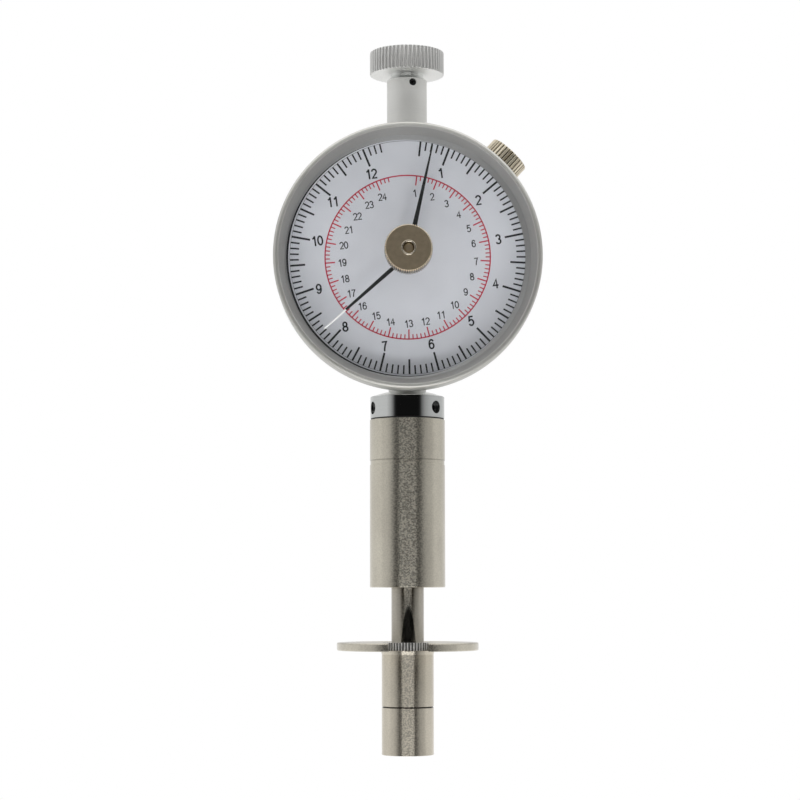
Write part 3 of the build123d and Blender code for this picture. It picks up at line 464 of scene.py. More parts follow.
def turned_steel(
    name, dark, light, smooth, coarse, speckle, front_speckle_depth=0.5, anisotropy=0.0, line=None, dirt_and_shade=0.04
):
    """Turned metal darkened by dirt and painted shade in a line round it, or else in its knurl grooves."""
    look, tone, roughness = turned_metal(name, dark, light, smooth, coarse, speckle, front_speckle_depth, anisotropy)
    if line:
        away = look.math("ABSOLUTE", look.math("SUBTRACT", look.axis("Z"), line))
        depth = look.math("LESS_THAN", away, HALF_LINE)
    else:
        depth = look.soil()
    look.drive(look.residue(tone, depth, dirt_and_shade), "Base Color")
    look.drive(roughness, "Roughness")
    return look.material


WEAR_AND_SHADOW_TOP = 31.0
WEAR_AND_SHADOW_ASIDE = 0.12
WEAR_AND_SHADOW_CURVE = 3.0
WEAR_AND_SHADOW_BEHIND = 6.0


def polished_rod(name, dark, light):
    """Turned metal whose front is worn smooth below an arch, where a painted shadow also darkens the tone."""
    look, tone, roughness = turned_metal(
        name, dark, light, smooth=0.275, coarse=0.285, speckle=2.6, front_speckle_depth=0.45, anisotropy=1.0
    )
    across = look.math("SUBTRACT", look.axis("X"), WEAR_AND_SHADOW_ASIDE)
    rise = look.math("MULTIPLY", look.math("MULTIPLY", across, across), WEAR_AND_SHADOW_CURVE)
    behind = look.math("MULTIPLY", look.math("MAXIMUM", look.axis("Y"), 0.0), WEAR_AND_SHADOW_BEHIND)
    height = look.math("ADD", look.math("ADD", look.axis("Z"), rise), behind)
    polish = look.mapped(height, WEAR_AND_SHADOW_TOP - 0.8, WEAR_AND_SHADOW_TOP + 0.8, 0.5, 1.0)
    # Painted shadow of the guard disc: the tone is darker below the arch.
    shade = look.mapped(height, WEAR_AND_SHADOW_TOP - 0.6, WEAR_AND_SHADOW_TOP + 0.4, 0.35, 1.0)
    look.drive(look.math("MULTIPLY", roughness, polish), "Roughness")
    look.drive(look.dulled(tone, shade), "Base Color")
    return look.material


def plated(name, dark, light, smooth, coarse, metallic=1.0, crest=None):
    """Plating over fine marks round the z axis, with a few dull spots; a painted highlight lightens the tone
    near a crest, and below it the tone is darker.
    """
    look = Finish(name, light, metallic, coarse)
    marks = look.noise(look.rings(), 5.0, 3, 0.6)
    tone = look.ramp(marks, (0.3, dark), (0.7, light))
    # Painted highlight: lighter tone at the crest, darker below it.
    if crest:
        tone = look.dulled(tone, look.mapped(look.axis("Z"), crest - 0.5, crest - 0.2, 0.82, 1.1))
    look.drive(tone, "Base Color")
    spots = look.noise(look.places, 2.2, 5, 0.6)
    look.drive(look.ramp(spots, (0.35, smooth), (0.75, coarse)), "Roughness")
    look.bump(marks, 0.05, 0.01)
    return look.material


def aged_brass(name, dark, light, smooth, coarse, metallic=1.0, dirt_and_shade=0.04, along=1.0, face=None):
    """Brass with an uneven film, darkened by dirt and painted shade in its knurl grooves; below a face a
    painted highlight lightens a thin band, then painted shade darkens the side.
    """
    look = Finish(name, light, metallic, coarse)
    film = look.noise(look.stretched(1, 1, along), 0.9, 5, 0.65)
    tone = look.residue(look.ramp(film, (0.28, dark), (0.72, light)), look.soil(), dirt_and_shade)
    grain = look.noise(look.places, 6.0, 3, 0.6)
    roughness = look.ramp(grain, (0.3, smooth), (0.7, coarse))
    if face:
        height = look.axis("Z")
        # Painted highlight on a thin band just below the face, then painted shade on the side further back.
        highlight_band = (face - 0.02, face - 0.01)
        tone = look.dulled(tone, look.mapped(height, *highlight_band, 1.4, 1.0))
        tone = look.dulled(tone, look.mapped(height, face - 1.2, face - 0.5, 0.5, 1.0))
        roughness = look.math("MULTIPLY", roughness, look.mapped(height, *highlight_band, 0.55, 1.0))
    look.drive(tone, "Base Color")
    look.drive(roughness, "Roughness")
    look.bump(grain, 0.1, 0.02)
    return look.material


def coated(name, dark, light, roughness, scale, bump=0.06):
    """Paint, ink or lacquer with slight unevenness."""
    look = Finish(name, light, 0.0, roughness)
    tone = look.noise(look.places, scale, 4, 0.6)
    look.drive(look.ramp(tone, (0.3, dark), (0.7, light)), "Base Color")
    look.bump(tone, bump, 0.01)
    return look.material


def clear_crystal():
    """Clear moulded crystal: a thin film of reflection over what lies behind it."""
    look = Finish("clear_crystal", (0.9, 0.9, 0.9), 0.0, 0.05)
    look.tree.nodes.remove(look.shader)
    clear = look.result("BsdfTransparent", {"Color": (0.995, 0.997, 1, 1)}, "BSDF")
    haze = look.ramp(look.noise(look.places, 0.3, 3, 0.5), (0.3, 0.03), (0.7, 0.09))
    gloss = look.result("BsdfGlossy", {"Roughness": haze}, "BSDF")
    film = look.math("MINIMUM", look.result("Fresnel", {"IOR": 1.2}, "Fac"), 0.05)
    look.show(look.result("MixShader", {0: film, 1: clear, 2: gloss}, "Shader"))
    return look.material


# Finishes
DEPTH_LINE = 10.0
GRIP_LINE = barrel_top - 8.7
BRASS_DARK, BRASS_LIGHT = (0.48, 0.395, 0.275), (0.60, 0.50, 0.36)
bezel_rear, bezel_crest = forward("bezel")
steel = turned_steel(
    "turned_steel", (0.64, 0.60, 0.51), (0.73, 0.69, 0.585), smooth=0.275, coarse=0.283,
    speckle=2.6, front_speckle_depth=0.55, anisotropy=1.0, line=GRIP_LINE, dirt_and_shade=0.72,
)
head_steel = turned_steel(
    "head_steel", (0.66, 0.61, 0.51), (0.75, 0.695, 0.585), smooth=0.285, coarse=0.305,
    speckle=2.6, front_speckle_depth=0.38, anisotropy=1.0, line=DEPTH_LINE,
)
# A lighter copy of the head's steel that stands in for lit knurl tips, with strong painted shade in its
# grooves.
lit_knurl_steel = turned_steel(
    "lit_knurl_steel", (0.88, 0.87, 0.85), (0.97, 0.96, 0.94), smooth=0.5, coarse=0.6,
    speckle=2.0, front_speckle_depth=0.2, dirt_and_shade=0.2,
)
# This finish paints the guard disc's shadow on the rod's front.
rod_steel = polished_rod("rod_steel", (0.43, 0.405, 0.355), (0.53, 0.50, 0.435))
inner_steel = turned_steel(
    "inner_steel", (0.40, 0.40, 0.40), (0.58, 0.58, 0.57), smooth=0.25, coarse=0.45,
    speckle=1.2, anisotropy=0.3,
)
spring_wire = turned_steel(
    "spring_wire", (0.24, 0.24, 0.25), (0.42, 0.42, 0.43), smooth=0.25, coarse=0.5,
    speckle=1.5, anisotropy=0.2,
)
stem_metal = plated(
    "stem_metal", (0.95, 0.95, 0.92), (0.98, 0.98, 0.95), smooth=0.54, coarse=0.66, metallic=0.5
)
cap_metal = plated(
    "cap_metal", (0.82, 0.82, 0.80), (0.90, 0.90, 0.88), smooth=0.42, coarse=0.54, metallic=0.9
)
chrome = plated("bright_chrome", (0.735, 0.75, 0.74), (0.765, 0.78, 0.77), smooth=0.05, coarse=0.11)
satin = plated("satin_chrome", (0.74, 0.74, 0.72), (0.83, 0.83, 0.81), smooth=0.34, coarse=0.44)
ring_metal = plated("ring_metal", (0.54, 0.54, 0.53), (0.60, 0.60, 0.59), smooth=0.60, coarse=0.70)
# The bezel's finish paints a highlight on its crest.
bezel_metal = plated(
    "bezel_metal", (0.665, 0.66, 0.625), (0.725, 0.72, 0.685), smooth=0.50, coarse=0.60, crest=bezel_crest
)
brass = aged_brass("aged_brass", BRASS_DARK, BRASS_LIGHT, smooth=0.46, coarse=0.52)
eye_brass = aged_brass("eye_brass", (0.80, 0.72, 0.58), (0.93, 0.86, 0.72), smooth=0.22, coarse=0.30)
lock_brass = aged_brass(
    "lock_brass", (0.60, 0.50, 0.35), (1.0, 0.94, 0.78), smooth=0.32, coarse=0.42,
    metallic=0.75, dirt_and_shade=0.05, along=0.03,
)
black_steel = coated("black_steel", (0.008, 0.008, 0.008), (0.02, 0.02, 0.02), roughness=0.5, scale=2.0)
dial_white = coated(
    "dial_lacquer", (0.71, 0.725, 0.765), (0.755, 0.77, 0.81), roughness=0.55, scale=0.2, bump=0.02
)
ink_black = coated("black_ink", (0.012, 0.013, 0.016), (0.03, 0.03, 0.035), roughness=0.6, scale=4.0)
ink_red = coated("red_ink", (0.50, 0.03, 0.06), (0.62, 0.06, 0.10), roughness=0.6, scale=4.0)
# White coat for the peak pointer's metal tip: a painted highlight.
tip_painted_highlight = coated("tip_painted_highlight", (0.93, 0.93, 0.92), (1.0, 1.0, 0.99), roughness=0.3, scale=3.0)
pointer_black = coated("pointer_black", (0.012, 0.012, 0.012), (0.03, 0.03, 0.03), roughness=0.4, scale=3.0)
crystal_clear = clear_crystal()

# Pressure head: plain cylinder, depth line, lip and knurled band
HEAD_RADIUS = 5.5
HEAD_TEETH = 52
HEAD_TOOTH = 0.25
HEAD_LIP = 0.2
LIP_HEIGHT, LIP_BAND = 0.85, 0.1
LINE_DEPTH = 0.15
LINE_HALF, LINE_FLOOR = 0.16, 0.06
STUD_RADIUS = 2.5
STUD_BORE = STUD_RADIUS + FIT
stud_floor = guard_top - 9.0
head_mesh = lathe([
    (0, head_bottom), (HEAD_RADIUS, head_bottom, 0.12),
    (HEAD_RADIUS, DEPTH_LINE - LINE_HALF), (HEAD_RADIUS - LINE_DEPTH, DEPTH_LINE - LINE_FLOOR),
    (HEAD_RADIUS - LINE_DEPTH, DEPTH_LINE + LINE_FLOOR), (HEAD_RADIUS, DEPTH_LINE + LINE_HALF),
    (HEAD_RADIUS, guard_bottom - LIP_HEIGHT), (HEAD_RADIUS + HEAD_LIP, guard_bottom - LIP_BAND),
    (HEAD_RADIUS + HEAD_LIP, guard_bottom), (STUD_BORE, guard_bottom),
    (STUD_BORE, stud_floor), (0, stud_floor),
])
piece("head_turned", head_mesh, base_frame, "plunger", head_steel, "steel", "pressure_head")
band_radii = knurl(HEAD_RADIUS, HEAD_TOOTH, HEAD_TEETH, HEAD_RADIUS, FLAT_TOOTH)
band_mesh = creased(spun([
    (STUD_BORE, guard_bottom), (band_radii, guard_bottom), (band_radii, guard_top), (STUD_BORE, guard_top),
], len(band_radii)))
piece("head_band", band_mesh, base_frame, "plunger", lit_knurl_steel, "steel")

# Splash guard: disc with an open slot at the front
GUARD_RADIUS = radius_of("splash_guard")
GUARD_BORE = HEAD_RADIUS + FIT
GUARD_EDGE = 0.28
GUARD_SLOT = 8.3
slot_cutter = box_cutter(
    (-GUARD_SLOT / 2, -2 * GUARD_RADIUS, guard_bottom - PAST), (GUARD_SLOT / 2, 0, guard_top + PAST)
)
guard_mesh = lathe([
    (GUARD_BORE, guard_bottom), (GUARD_RADIUS, guard_bottom, GUARD_EDGE),
    (GUARD_RADIUS, guard_top, GUARD_EDGE), (GUARD_BORE, guard_top),
], cutters=[slot_cutter])
piece("guard_disc", guard_mesh, base_frame, "plunger", steel, "steel", "splash_guard")

# Plunger rod
ROD_RADIUS = radius_of("plunger_rod")
ROD_NECK = 3.0
ROD_EDGE = 0.3
SPINDLE_BORE = 2.0 + FIT
spindle_floor = rod_top - 8
follower_bottom = span("spring_follower")[0]
rod_mesh = lathe([
    (0, rod_bottom), (STUD_RADIUS, rod_bottom, ROD_EDGE),
    (STUD_RADIUS, guard_top), (ROD_RADIUS, guard_top),
    (ROD_RADIUS, follower_bottom, 0.1), (ROD_NECK, follower_bottom),
    (ROD_NECK, rod_top, ROD_EDGE), (SPINDLE_BORE, rod_top),
    (SPINDLE_BORE, spindle_floor), (0, spindle_floor),
])
piece("rod_polished", rod_mesh, base_frame, "plunger", rod_steel, "steel", "plunger_rod")

# Barrel with a shallow groove below the grip line
BARREL_RADIUS = radius_of("barrel")
BARREL_BORE = 6.6
MOUTH_BORE = 4.5
mouth_top = barrel_bottom + 1.2
GROOVE_FLOOR = BARREL_RADIUS - 0.1
GROOVE_WIDTH = 1.0
GROOVE_SLOPE = 0.05
barrel_mesh = lathe([
    (MOUTH_BORE, barrel_bottom), (BARREL_RADIUS, barrel_bottom, 0.2),
    (BARREL_RADIUS, GRIP_LINE - GROOVE_WIDTH), (GROOVE_FLOOR, GRIP_LINE - GROOVE_WIDTH + GROOVE_SLOPE),
    (GROOVE_FLOOR, GRIP_LINE - GROOVE_SLOPE), (BARREL_RADIUS, GRIP_LINE),
    (BARREL_RADIUS, barrel_top, 0.05), (BARREL_BORE, barrel_top),
    (BARREL_BORE, mouth_top), (MOUTH_BORE, mouth_top),
])
piece("barrel_turned", barrel_mesh, base_frame, "case", steel, "steel", "barrel")

# Clamp collar with its three screw holes, and a black ring in the gap under it as painted shade
COLLAR_RADIUS = radius_of("clamp_collar")
COLLAR_SPIGOT = BARREL_BORE - FIT
COLLAR_BORE = 5.88
COLLAR_NECK = 5.3
COLLAR_CONE = 0.8
COLLAR_STEP = COLLAR_RADIUS - 0.5
STEM_SEAT = 4.02
roof_bottom = barrel_top + 0.5
gap_top = barrel_top + 0.3
COLLAR_SCREW_Z = barrel_top + 2.4
COLLAR_SCREW_RADIUS = 1.35
COLLAR_SCREW_ANGLES = (-70, 50, 170)
COLLAR_DRILL = (4.5, 12)
collar_drills = [
    drill(COLLAR_SCREW_RADIUS, *COLLAR_DRILL, radial_frame(COLLAR_SCREW_Z, angle))
    for angle in COLLAR_SCREW_ANGLES
]
collar_mesh = lathe([
    (COLLAR_BORE, collar_bottom), (COLLAR_SPIGOT, collar_bottom),
    (COLLAR_SPIGOT, barrel_top), (COLLAR_STEP, barrel_top),
    (COLLAR_STEP, gap_top), (COLLAR_RADIUS, gap_top),
    (COLLAR_RADIUS, collar_top - COLLAR_CONE, 0.12), (COLLAR_NECK, collar_top, 0.15),
    (STEM_SEAT, collar_top), (STEM_SEAT, roof_bottom),
    (COLLAR_BORE, roof_bottom),
], cutters=collar_drills)
piece("collar_plated", collar_mesh, base_frame, "case", chrome, "chrome", "clamp_collar")
# A black ring fills the gap under the collar: painted shade.
GAP_SHADE_PLAY = 0.01
GAP_SHADE_INNER, GAP_SHADE_OUTER = COLLAR_RADIUS - 0.55, COLLAR_RADIUS - 0.1
gap_shade_mesh = lathe([
    (GAP_SHADE_INNER, barrel_top + GAP_SHADE_PLAY), (GAP_SHADE_OUTER, barrel_top + GAP_SHADE_PLAY, 0.05),
    (GAP_SHADE_OUTER, gap_top - GAP_SHADE_PLAY), (GAP_SHADE_INNER, gap_top - GAP_SHADE_PLAY),
])
piece("collar_gap_shade", gap_shade_mesh, base_frame, "case", black_steel, "black_steel")

# Stems
STEM_BORE = 2.05
STEM_EDGE = 0.2
LOWER_STEM_RADIUS = radius_of("lower_stem")
lower_stem_bottom, lower_stem_top = span("lower_stem")
lower_stem_mesh = lathe([
    (STEM_BORE, lower_stem_bottom), (LOWER_STEM_RADIUS, lower_stem_bottom, STEM_EDGE),
    (LOWER_STEM_RADIUS, lower_stem_top, STEM_EDGE), (STEM_BORE, lower_stem_top),
])
piece("stem_lower", lower_stem_mesh, base_frame, "case", stem_metal, "chrome", "lower_stem")
STEM_RADIUS = radius_of("upper_stem")
CAP_SPIGOT = 2.75
CAP_SOCKET = CAP_SPIGOT + FIT
socket_floor = stem_top - 4.2
NECK_RADIUS = 3.55
neck_bottom, neck_waist = stem_top - 1.35, stem_top - 0.55
CAP_SCREW_Z = stem_top - 2.3
CAP_SCREW_RADIUS = 0.8
CAP_SCREW_ANGLE = 17
CAP_DRILL = (2.9, 8)
cap_drill = drill(CAP_SCREW_RADIUS, *CAP_DRILL, radial_frame(CAP_SCREW_Z, CAP_SCREW_ANGLE))
upper_stem_mesh = lathe([
    (STEM_BORE, stem_bottom), (STEM_RADIUS, stem_bottom, STEM_EDGE),
    (STEM_RADIUS, neck_bottom), (CAP_SOCKET, neck_bottom),
    (CAP_SOCKET, socket_floor), (STEM_BORE, socket_floor),
], cutters=[cap_drill])
piece("stem_upper", upper_stem_mesh, base_frame, "case", stem_metal, "chrome", "upper_stem")
neck_mesh = lathe([
    (CAP_SOCKET, neck_bottom), (STEM_RADIUS, neck_bottom, 0.06),
    (NECK_RADIUS, neck_waist, 0.1), (NECK_RADIUS, stem_top),
    (CAP_SOCKET, stem_top),
])
piece("stem_neck", neck_mesh, base_frame, "case", chrome, "chrome")

# Press cap
CAP_RADIUS = 8.0
CAP_FACE = CAP_RADIUS - 0.8
CAP_TEETH = 57
CAP_TOOTH = 0.3
CAP_BEVEL = 0.12
cap_mesh = knurled(
    [(0, cap_bottom), (CAP_SPIGOT, cap_bottom), (CAP_SPIGOT, stem_top)],
    CAP_RADIUS, CAP_TOOTH, CAP_TEETH, stem_top, cap_top, CAP_BEVEL, ROUND_TOOTH,
    [(CAP_FACE, cap_top), (0, cap_top)],
)
piece("cap_knurled", cap_mesh, base_frame, "case", cap_metal, "chrome", "press_cap")

# Case, cover and cover screws, along the dial axis with forward as positive
case_rear, case_front = forward("case_body")
case_floor = case_front - 1.5
CASE_RADIUS = radius_of("case_body")
CASE_INNER = CASE_RADIUS - 2.0
CASE_DRILL = (20, 30)
LOCK_BORE = 1.55
BUSH_BORE = 2.5 + FIT
BUSH_REACH = 3
up_frame = Matrix.Translation((0, 0, dial_z * MM))
down_frame = up_frame @ Matrix.Rotation(math.pi, 4, "X")
CASE_SEATS = [(STEM_RADIUS + FIT, up_frame), (LOWER_STEM_RADIUS + FIT, down_frame), (LOCK_BORE, lock_frame)]
to_dial = dial_frame.inverted()
case_drills = [drill(radius, *CASE_DRILL, to_dial @ matrix) for radius, matrix in CASE_SEATS]
case_drills.append(drill(BUSH_BORE, case_front - BUSH_REACH, case_front + BUSH_REACH, Matrix.Identity(4)))
case_mesh = lathe([
    (0, case_front), (CASE_RADIUS, case_front, 0.3),
    (CASE_RADIUS, case_rear, 0.1), (CASE_INNER, case_rear, 0.1),
    (CASE_INNER, case_floor), (0, case_floor),
], cutters=case_drills)
piece("case_shell", case_mesh, dial_frame, "case", satin, "chrome", "case_body")

SCREW_HEAD, SCREW_SHANK = 1.8, 0.8
SCREW_CIRCLE = CASE_INNER - 1.8
SCREW_ANGLES = (22.5, 112.5, 202.5, 292.5)
cover_rear = forward("back_cover")[0]
screw_seat, screw_end = cover_rear + 0.9, cover_rear + 6.9
screw_frames = []
for angle in SCREW_ANGLES:
    reach, turn = SCREW_CIRCLE * MM, math.radians(angle)
    screw_frames.append(Matrix.Translation((reach * math.cos(turn), reach * math.sin(turn), 0)))
cover_drills = []
for radius, end in ((SCREW_HEAD + FIT, screw_seat), (SCREW_SHANK + FIT, case_rear + PAST)):
    cover_drills += [drill(radius, cover_rear - PAST, end, matrix) for matrix in screw_frames]
cover_mesh = lathe([
    (0, cover_rear), (CASE_RADIUS, cover_rear, 0.55),
    (CASE_RADIUS, case_rear, 0.08), (0, case_rear),
], cutters=cover_drills)
piece("cover_plate", cover_mesh, dial_frame, "case", satin, "chrome", "back_cover")

SCREW_SLOT = 0.4
SLOT_REACH = 3
FIRST_SLOT, NEXT_SLOT = 35, 70
screws = []
for index, matrix in enumerate(screw_frames):
    slot = box_cutter(
        (-SLOT_REACH, -SCREW_SLOT / 2, cover_rear - PAST),
        (SLOT_REACH, SCREW_SLOT / 2, cover_rear + SCREW_SLOT),
    )
    slot.transform(Matrix.Rotation(math.radians(FIRST_SLOT + NEXT_SLOT * index), 4, "Z"))
    screw = lathe([
        (0, cover_rear), (SCREW_HEAD, cover_rear, 0.2),
        (SCREW_HEAD, screw_seat), (SCREW_SHANK, screw_seat),
        (SCREW_SHANK, screw_end, 0.2), (0, screw_end),
    ], SMALL, [slot])
    screw.transform(matrix)
    screws.append(screw)
screws_mesh = creased(joined(screws))
piece("cover_screws", screws_mesh, dial_frame, "case", inner_steel, "steel", "back_cover_screws")

# Bezel: rounded crest, funnel down to the crystal and a skirt over the case
BEZEL_RADIUS = radius_of("bezel")
BEZEL_BORE = CASE_RADIUS + 0.05
BEZEL_LIP = BEZEL_BORE - 0.45
CREST_WIDTH = 1.0
lip_rear = bezel_crest - 3.0
bezel_mesh = lathe([
    (BEZEL_LIP, lip_rear, 0.1), (BEZEL_BORE, lip_rear),
    (BEZEL_BORE, bezel_rear, 0.1), (BEZEL_RADIUS, bezel_rear, 0.6),
    (BEZEL_RADIUS, bezel_crest, 0.9), (BEZEL_RADIUS - CREST_WIDTH, bezel_crest, 0.12),
])
piece("bezel_ring", bezel_mesh, dial_frame, "bezel", bezel_metal, "chrome", "bezel")

# Dial plate, and the ring on it, whose inner edge is a little off-centre so that a painted shadow line under
# it shows on the left
DIAL_RADIUS = radius_of("dial_plate")
DIAL_BORE = 2.0
dial_back, dial_face = forward("dial_plate")
dial_mesh = lathe([
    (DIAL_BORE, dial_back), (DIAL_RADIUS, dial_back), (DIAL_RADIUS, dial_face), (DIAL_BORE, dial_face),
])
piece("dial_lacquered", dial_mesh, dial_frame, "bezel", dial_white, "dial_face", "dial_plate")
RING_INNER = DIAL_RADIUS - 1.33
RING_FOOT = RING_INNER + 0.25
RING_TOP = DIAL_RADIUS - 0.15
RING_CREASE = 20
RING_OFFSET = 0.4
OFFSET_ANGLE = math.radians(197)
ring_front = forward("dial_ring")[1]
ring_foot = []
for step in range(FINE):
    ring_foot.append(RING_FOOT + RING_OFFSET * math.cos(2 * math.pi * step / FINE - OFFSET_ANGLE))
ring_mesh = creased(spun([
    (ring_foot, dial_face), (DIAL_RADIUS, dial_face), (DIAL_RADIUS, ring_front), (RING_TOP, ring_front),
]), RING_CREASE)
piece("ring_satin", ring_mesh, dial_frame, "bezel", ring_metal, "chrome", "dial_ring")

# Dial print: a thin film of ink on the dial, whose scales start a little left of the top
DIAL_TURN = 8.0
film_low, film_high = dial_face - 0.01, dial_face + 0.02
SHARPEST = 0.6
OUTER_UNIT = 28.8
INNER_UNIT = 14.4
OUTER_EDGE = 24.9
INNER_CIRCLE = 17.45
FIRST_STEP, LAST_STEP = 5, 123


def around(radius, angle):
    """Place at a radius, at an angle clockwise from the dial's own top."""
    turn = math.radians(angle - DIAL_TURN)
    return Vector((radius * math.sin(turn), radius * math.cos(turn)))


def film_stroke(shape, points, width, closed=False):
    """Thin line of ink along points of the dial's plane, in millimetres."""
    count = len(points)
    rows = []
    for index, point in enumerate(points):
        back = point - points[index - 1] if closed or index > 0 else points[1] - point
        ahead = points[(index + 1) % count] - point if closed or index < count - 1 else back
        back, ahead = back.normalized(), ahead.normalized()
        along = (back + ahead).normalized()
        side = Vector((-along.y, along.x)) * width / 2 / max(SHARPEST, along.dot(ahead))
        left, right = point + side, point - side
        outline = ((left, film_low), (right, film_low), (right, film_high), (left, film_high))
        rows.append([shape.verts.new((place.x * MM, place.y * MM, z * MM)) for place, z in outline])
    bar(shape, rows, closed)


def film_circle(shape, radius, width):
    """Circle of ink round the dial's middle."""
    film_stroke(shape, [around(radius, step * 360 / FINE) for step in range(FINE)], width, True)


def printed(name, shape, material):
    piece(name, finished(shape), dial_frame, "bezel", material, "dial_face")


def scale_print(name, material, unit, per_unit, circle, line, lengths, widths):
    """Circle and ticks of a scale; lengths and widths are for whole, half and small steps."""
    shape = bmesh.new()
    film_circle(shape, circle, line)
    for step in range(FIRST_STEP, LAST_STEP + 1):
        rank = 0 if step % per_unit == 0 else 1 if 2 * step % per_unit == 0 else 2
        angle = unit * step / per_unit
        film_stroke(shape, [around(circle, angle), around(circle - lengths[rank], angle)], widths[rank])
    printed(name, shape, material)


scale_print(
    "outer_scale", ink_black, OUTER_UNIT, per_unit=10, circle=OUTER_EDGE, line=0.06,
    lengths=(3.95, 3.2, 1.9), widths=(0.42, 0.40, 0.33),
)
# A black ink circle under the ring's edge is a painted shadow line; it shows on the left, where the
# off-centre edge stands farther out.
EDGE_SHADOW_RADIUS = RING_FOOT + 0.19
EDGE_SHADOW_WIDTH = 0.42
edge_shadow_shape = bmesh.new()
film_circle(edge_shadow_shape, EDGE_SHADOW_RADIUS, EDGE_SHADOW_WIDTH)
printed("dial_edge_shadow", edge_shadow_shape, ink_black)
scale_print(
    "inner_scale", ink_red, INNER_UNIT, per_unit=5, circle=INNER_CIRCLE, line=0.27,
    lengths=(2.05, 1.0, 1.0), widths=(0.27, 0.23, 0.23),
)


def arc(x, y, wide, tall, start, end, steps=14):
    """Points of part of an ellipse, with angles counted from the right."""
    points = []
    for step in range(steps + 1):
        angle = math.radians(start + (end - start) * step / steps)
        points.append((x + wide * math.cos(angle), y + tall * math.sin(angle)))
    return points


def loop(x, y, wide, tall):
    """Points of a whole ellipse, which ends where it starts."""
    return arc(x, y, wide, tall, 0, 360, 24)


DIGITS = {
    "0": [loop(0, 0, 0.22, 0.43)],
    "1": [[(-0.17, 0.24), (-0.03, 0.30), (0.07, 0.47)], [(0.07, 0.5), (0.07, -0.5)]],
    "2": [arc(0, 0.19, 0.22, 0.24, 170, -35) + [(-0.21, -0.43), (0.25, -0.43)]],
    "3": [arc(-0.01, 0.22, 0.19, 0.21, 165, -90), arc(-0.01, -0.21, 0.22, 0.22, 90, -165)],
    "4": [[(0.10, -0.5), (0.10, 0.40), (-0.24, -0.18), (0.27, -0.18)]],
    "5": [[(0.21, 0.43), (-0.14, 0.43), (-0.19, 0.02)] + arc(0, -0.15, 0.22, 0.28, 140, -155)],
    "6": [loop(0.01, -0.16, 0.21, 0.27), arc(0.03, -0.02, 0.23, 0.45, 185, 38)],
    "7": [[(-0.24, 0.43), (0.22, 0.43), (0.06, 0.12), (-0.03, -0.18), (-0.08, -0.5)]],
    "8": [loop(0, 0.22, 0.18, 0.21), loop(0, -0.21, 0.22, 0.22)],
    "9": [loop(-0.01, 0.16, 0.21, 0.27), arc(-0.03, 0.02, 0.23, 0.45, 5, -142)],
}
DIGIT_STEP = 0.58


def numerals(name, unit, last, radius, height, weight, nudges):
    """Upright numbers round a scale, drawn with strokes of one weight and set a little by the listed nudges.
    """
    shape = bmesh.new()
    upright = Matrix.Rotation(math.radians(DIAL_TURN), 2)
    for value in range(1, last + 1):
        middle = around(radius, unit * value) + Vector(nudges.get(value, (0, 0)))
        letters = str(value)
        for place, letter in enumerate(letters):
            shift = (place - (len(letters) - 1) / 2) * DIGIT_STEP
            for stroke in DIGITS[letter]:
                closed = (Vector(stroke[0]) - Vector(stroke[-1])).length < TINY
                points = [middle + upright @ Vector((x + shift, y)) * height for x, y in stroke]
                film_stroke(shape, points[:-1] if closed else points, weight, closed)
    printed(name, shape, ink_black)


OUTER_NUDGES = {
    1: (0.15, -0.2), 2: (0.2, -0.4), 3: (0.15, -0.1), 4: (0, 0.1), 5: (-0.15, 0.35), 6: (-0.15, 0.2),
    7: (-0.3, -0.1), 8: (-0.1, -0.5), 9: (-0.35, -0.55), 10: (0, 0.05), 11: (-0.7, -0.4), 12: (-0.3, -0.2),
}
INNER_NUDGES = {
    1: (-0.05, -0.5), 2: (0.15, -0.4), 3: (0.05, -0.2), 4: (0, -0.1), 5: (0.15, -0.15), 7: (0.3, -0.25),
    9: (0.15, 0), 14: (-0.3, 0), 18: (0.2, -0.1), 19: (0.35, -0.15), 20: (0.5, 0), 21: (0.5, -0.1),
    22: (0.45, -0.25), 23: (0.4, -0.25), 24: (0.05, -0.3),
}
numerals("outer_numbers", OUTER_UNIT, last=12, radius=19.4, height=2.15, weight=0.34, nudges=OUTER_NUDGES)
numerals("inner_numbers", INNER_UNIT, last=24, radius=14.2, height=1.6, weight=0.22, nudges=INNER_NUDGES)

# Crystal
CRYSTAL_SIDE = BEZEL_LIP - 0.05
CRYSTAL_SHOULDER = CRYSTAL_SIDE - 0.55
CRYSTAL_WALL = 1.1
CRYSTAL_CROWN = 2.5
CRYSTAL_BORE = 2.0 + FIT
CRYSTAL_CREASE = 30
crystal_front = lip_rear + 2.9
DOME_STEPS = 14


def dome(radius, shoulder):
    """Points of a shallow dome from its shoulder to the bore in its middle."""
    ball = (radius**2 + CRYSTAL_CROWN**2) / (2 * CRYSTAL_CROWN)
    points = []
    for step in range(DOME_STEPS + 1):
        here = radius + (CRYSTAL_BORE - radius) * step / DOME_STEPS
        points.append((here, shoulder + CRYSTAL_CROWN - ball + math.sqrt(ball**2 - here**2)))
    return points


outer_dome = dome(CRYSTAL_SHOULDER, crystal_front)
inner_dome = dome(CRYSTAL_SHOULDER - CRYSTAL_WALL, crystal_front - CRYSTAL_WALL)
crystal_rings = [
    (DIAL_RADIUS, ring_front), (DIAL_RADIUS, lip_rear), (CRYSTAL_SIDE, lip_rear), *outer_dome,
    *inner_dome[::-1], (CRYSTAL_SIDE - CRYSTAL_WALL, ring_front),
]
crystal_mesh = creased(spun(crystal_rings), CRYSTAL_CREASE)
piece("crystal_dome", crystal_mesh, dial_frame, "bezel", crystal_clear, "clear_crystal", "crystal")

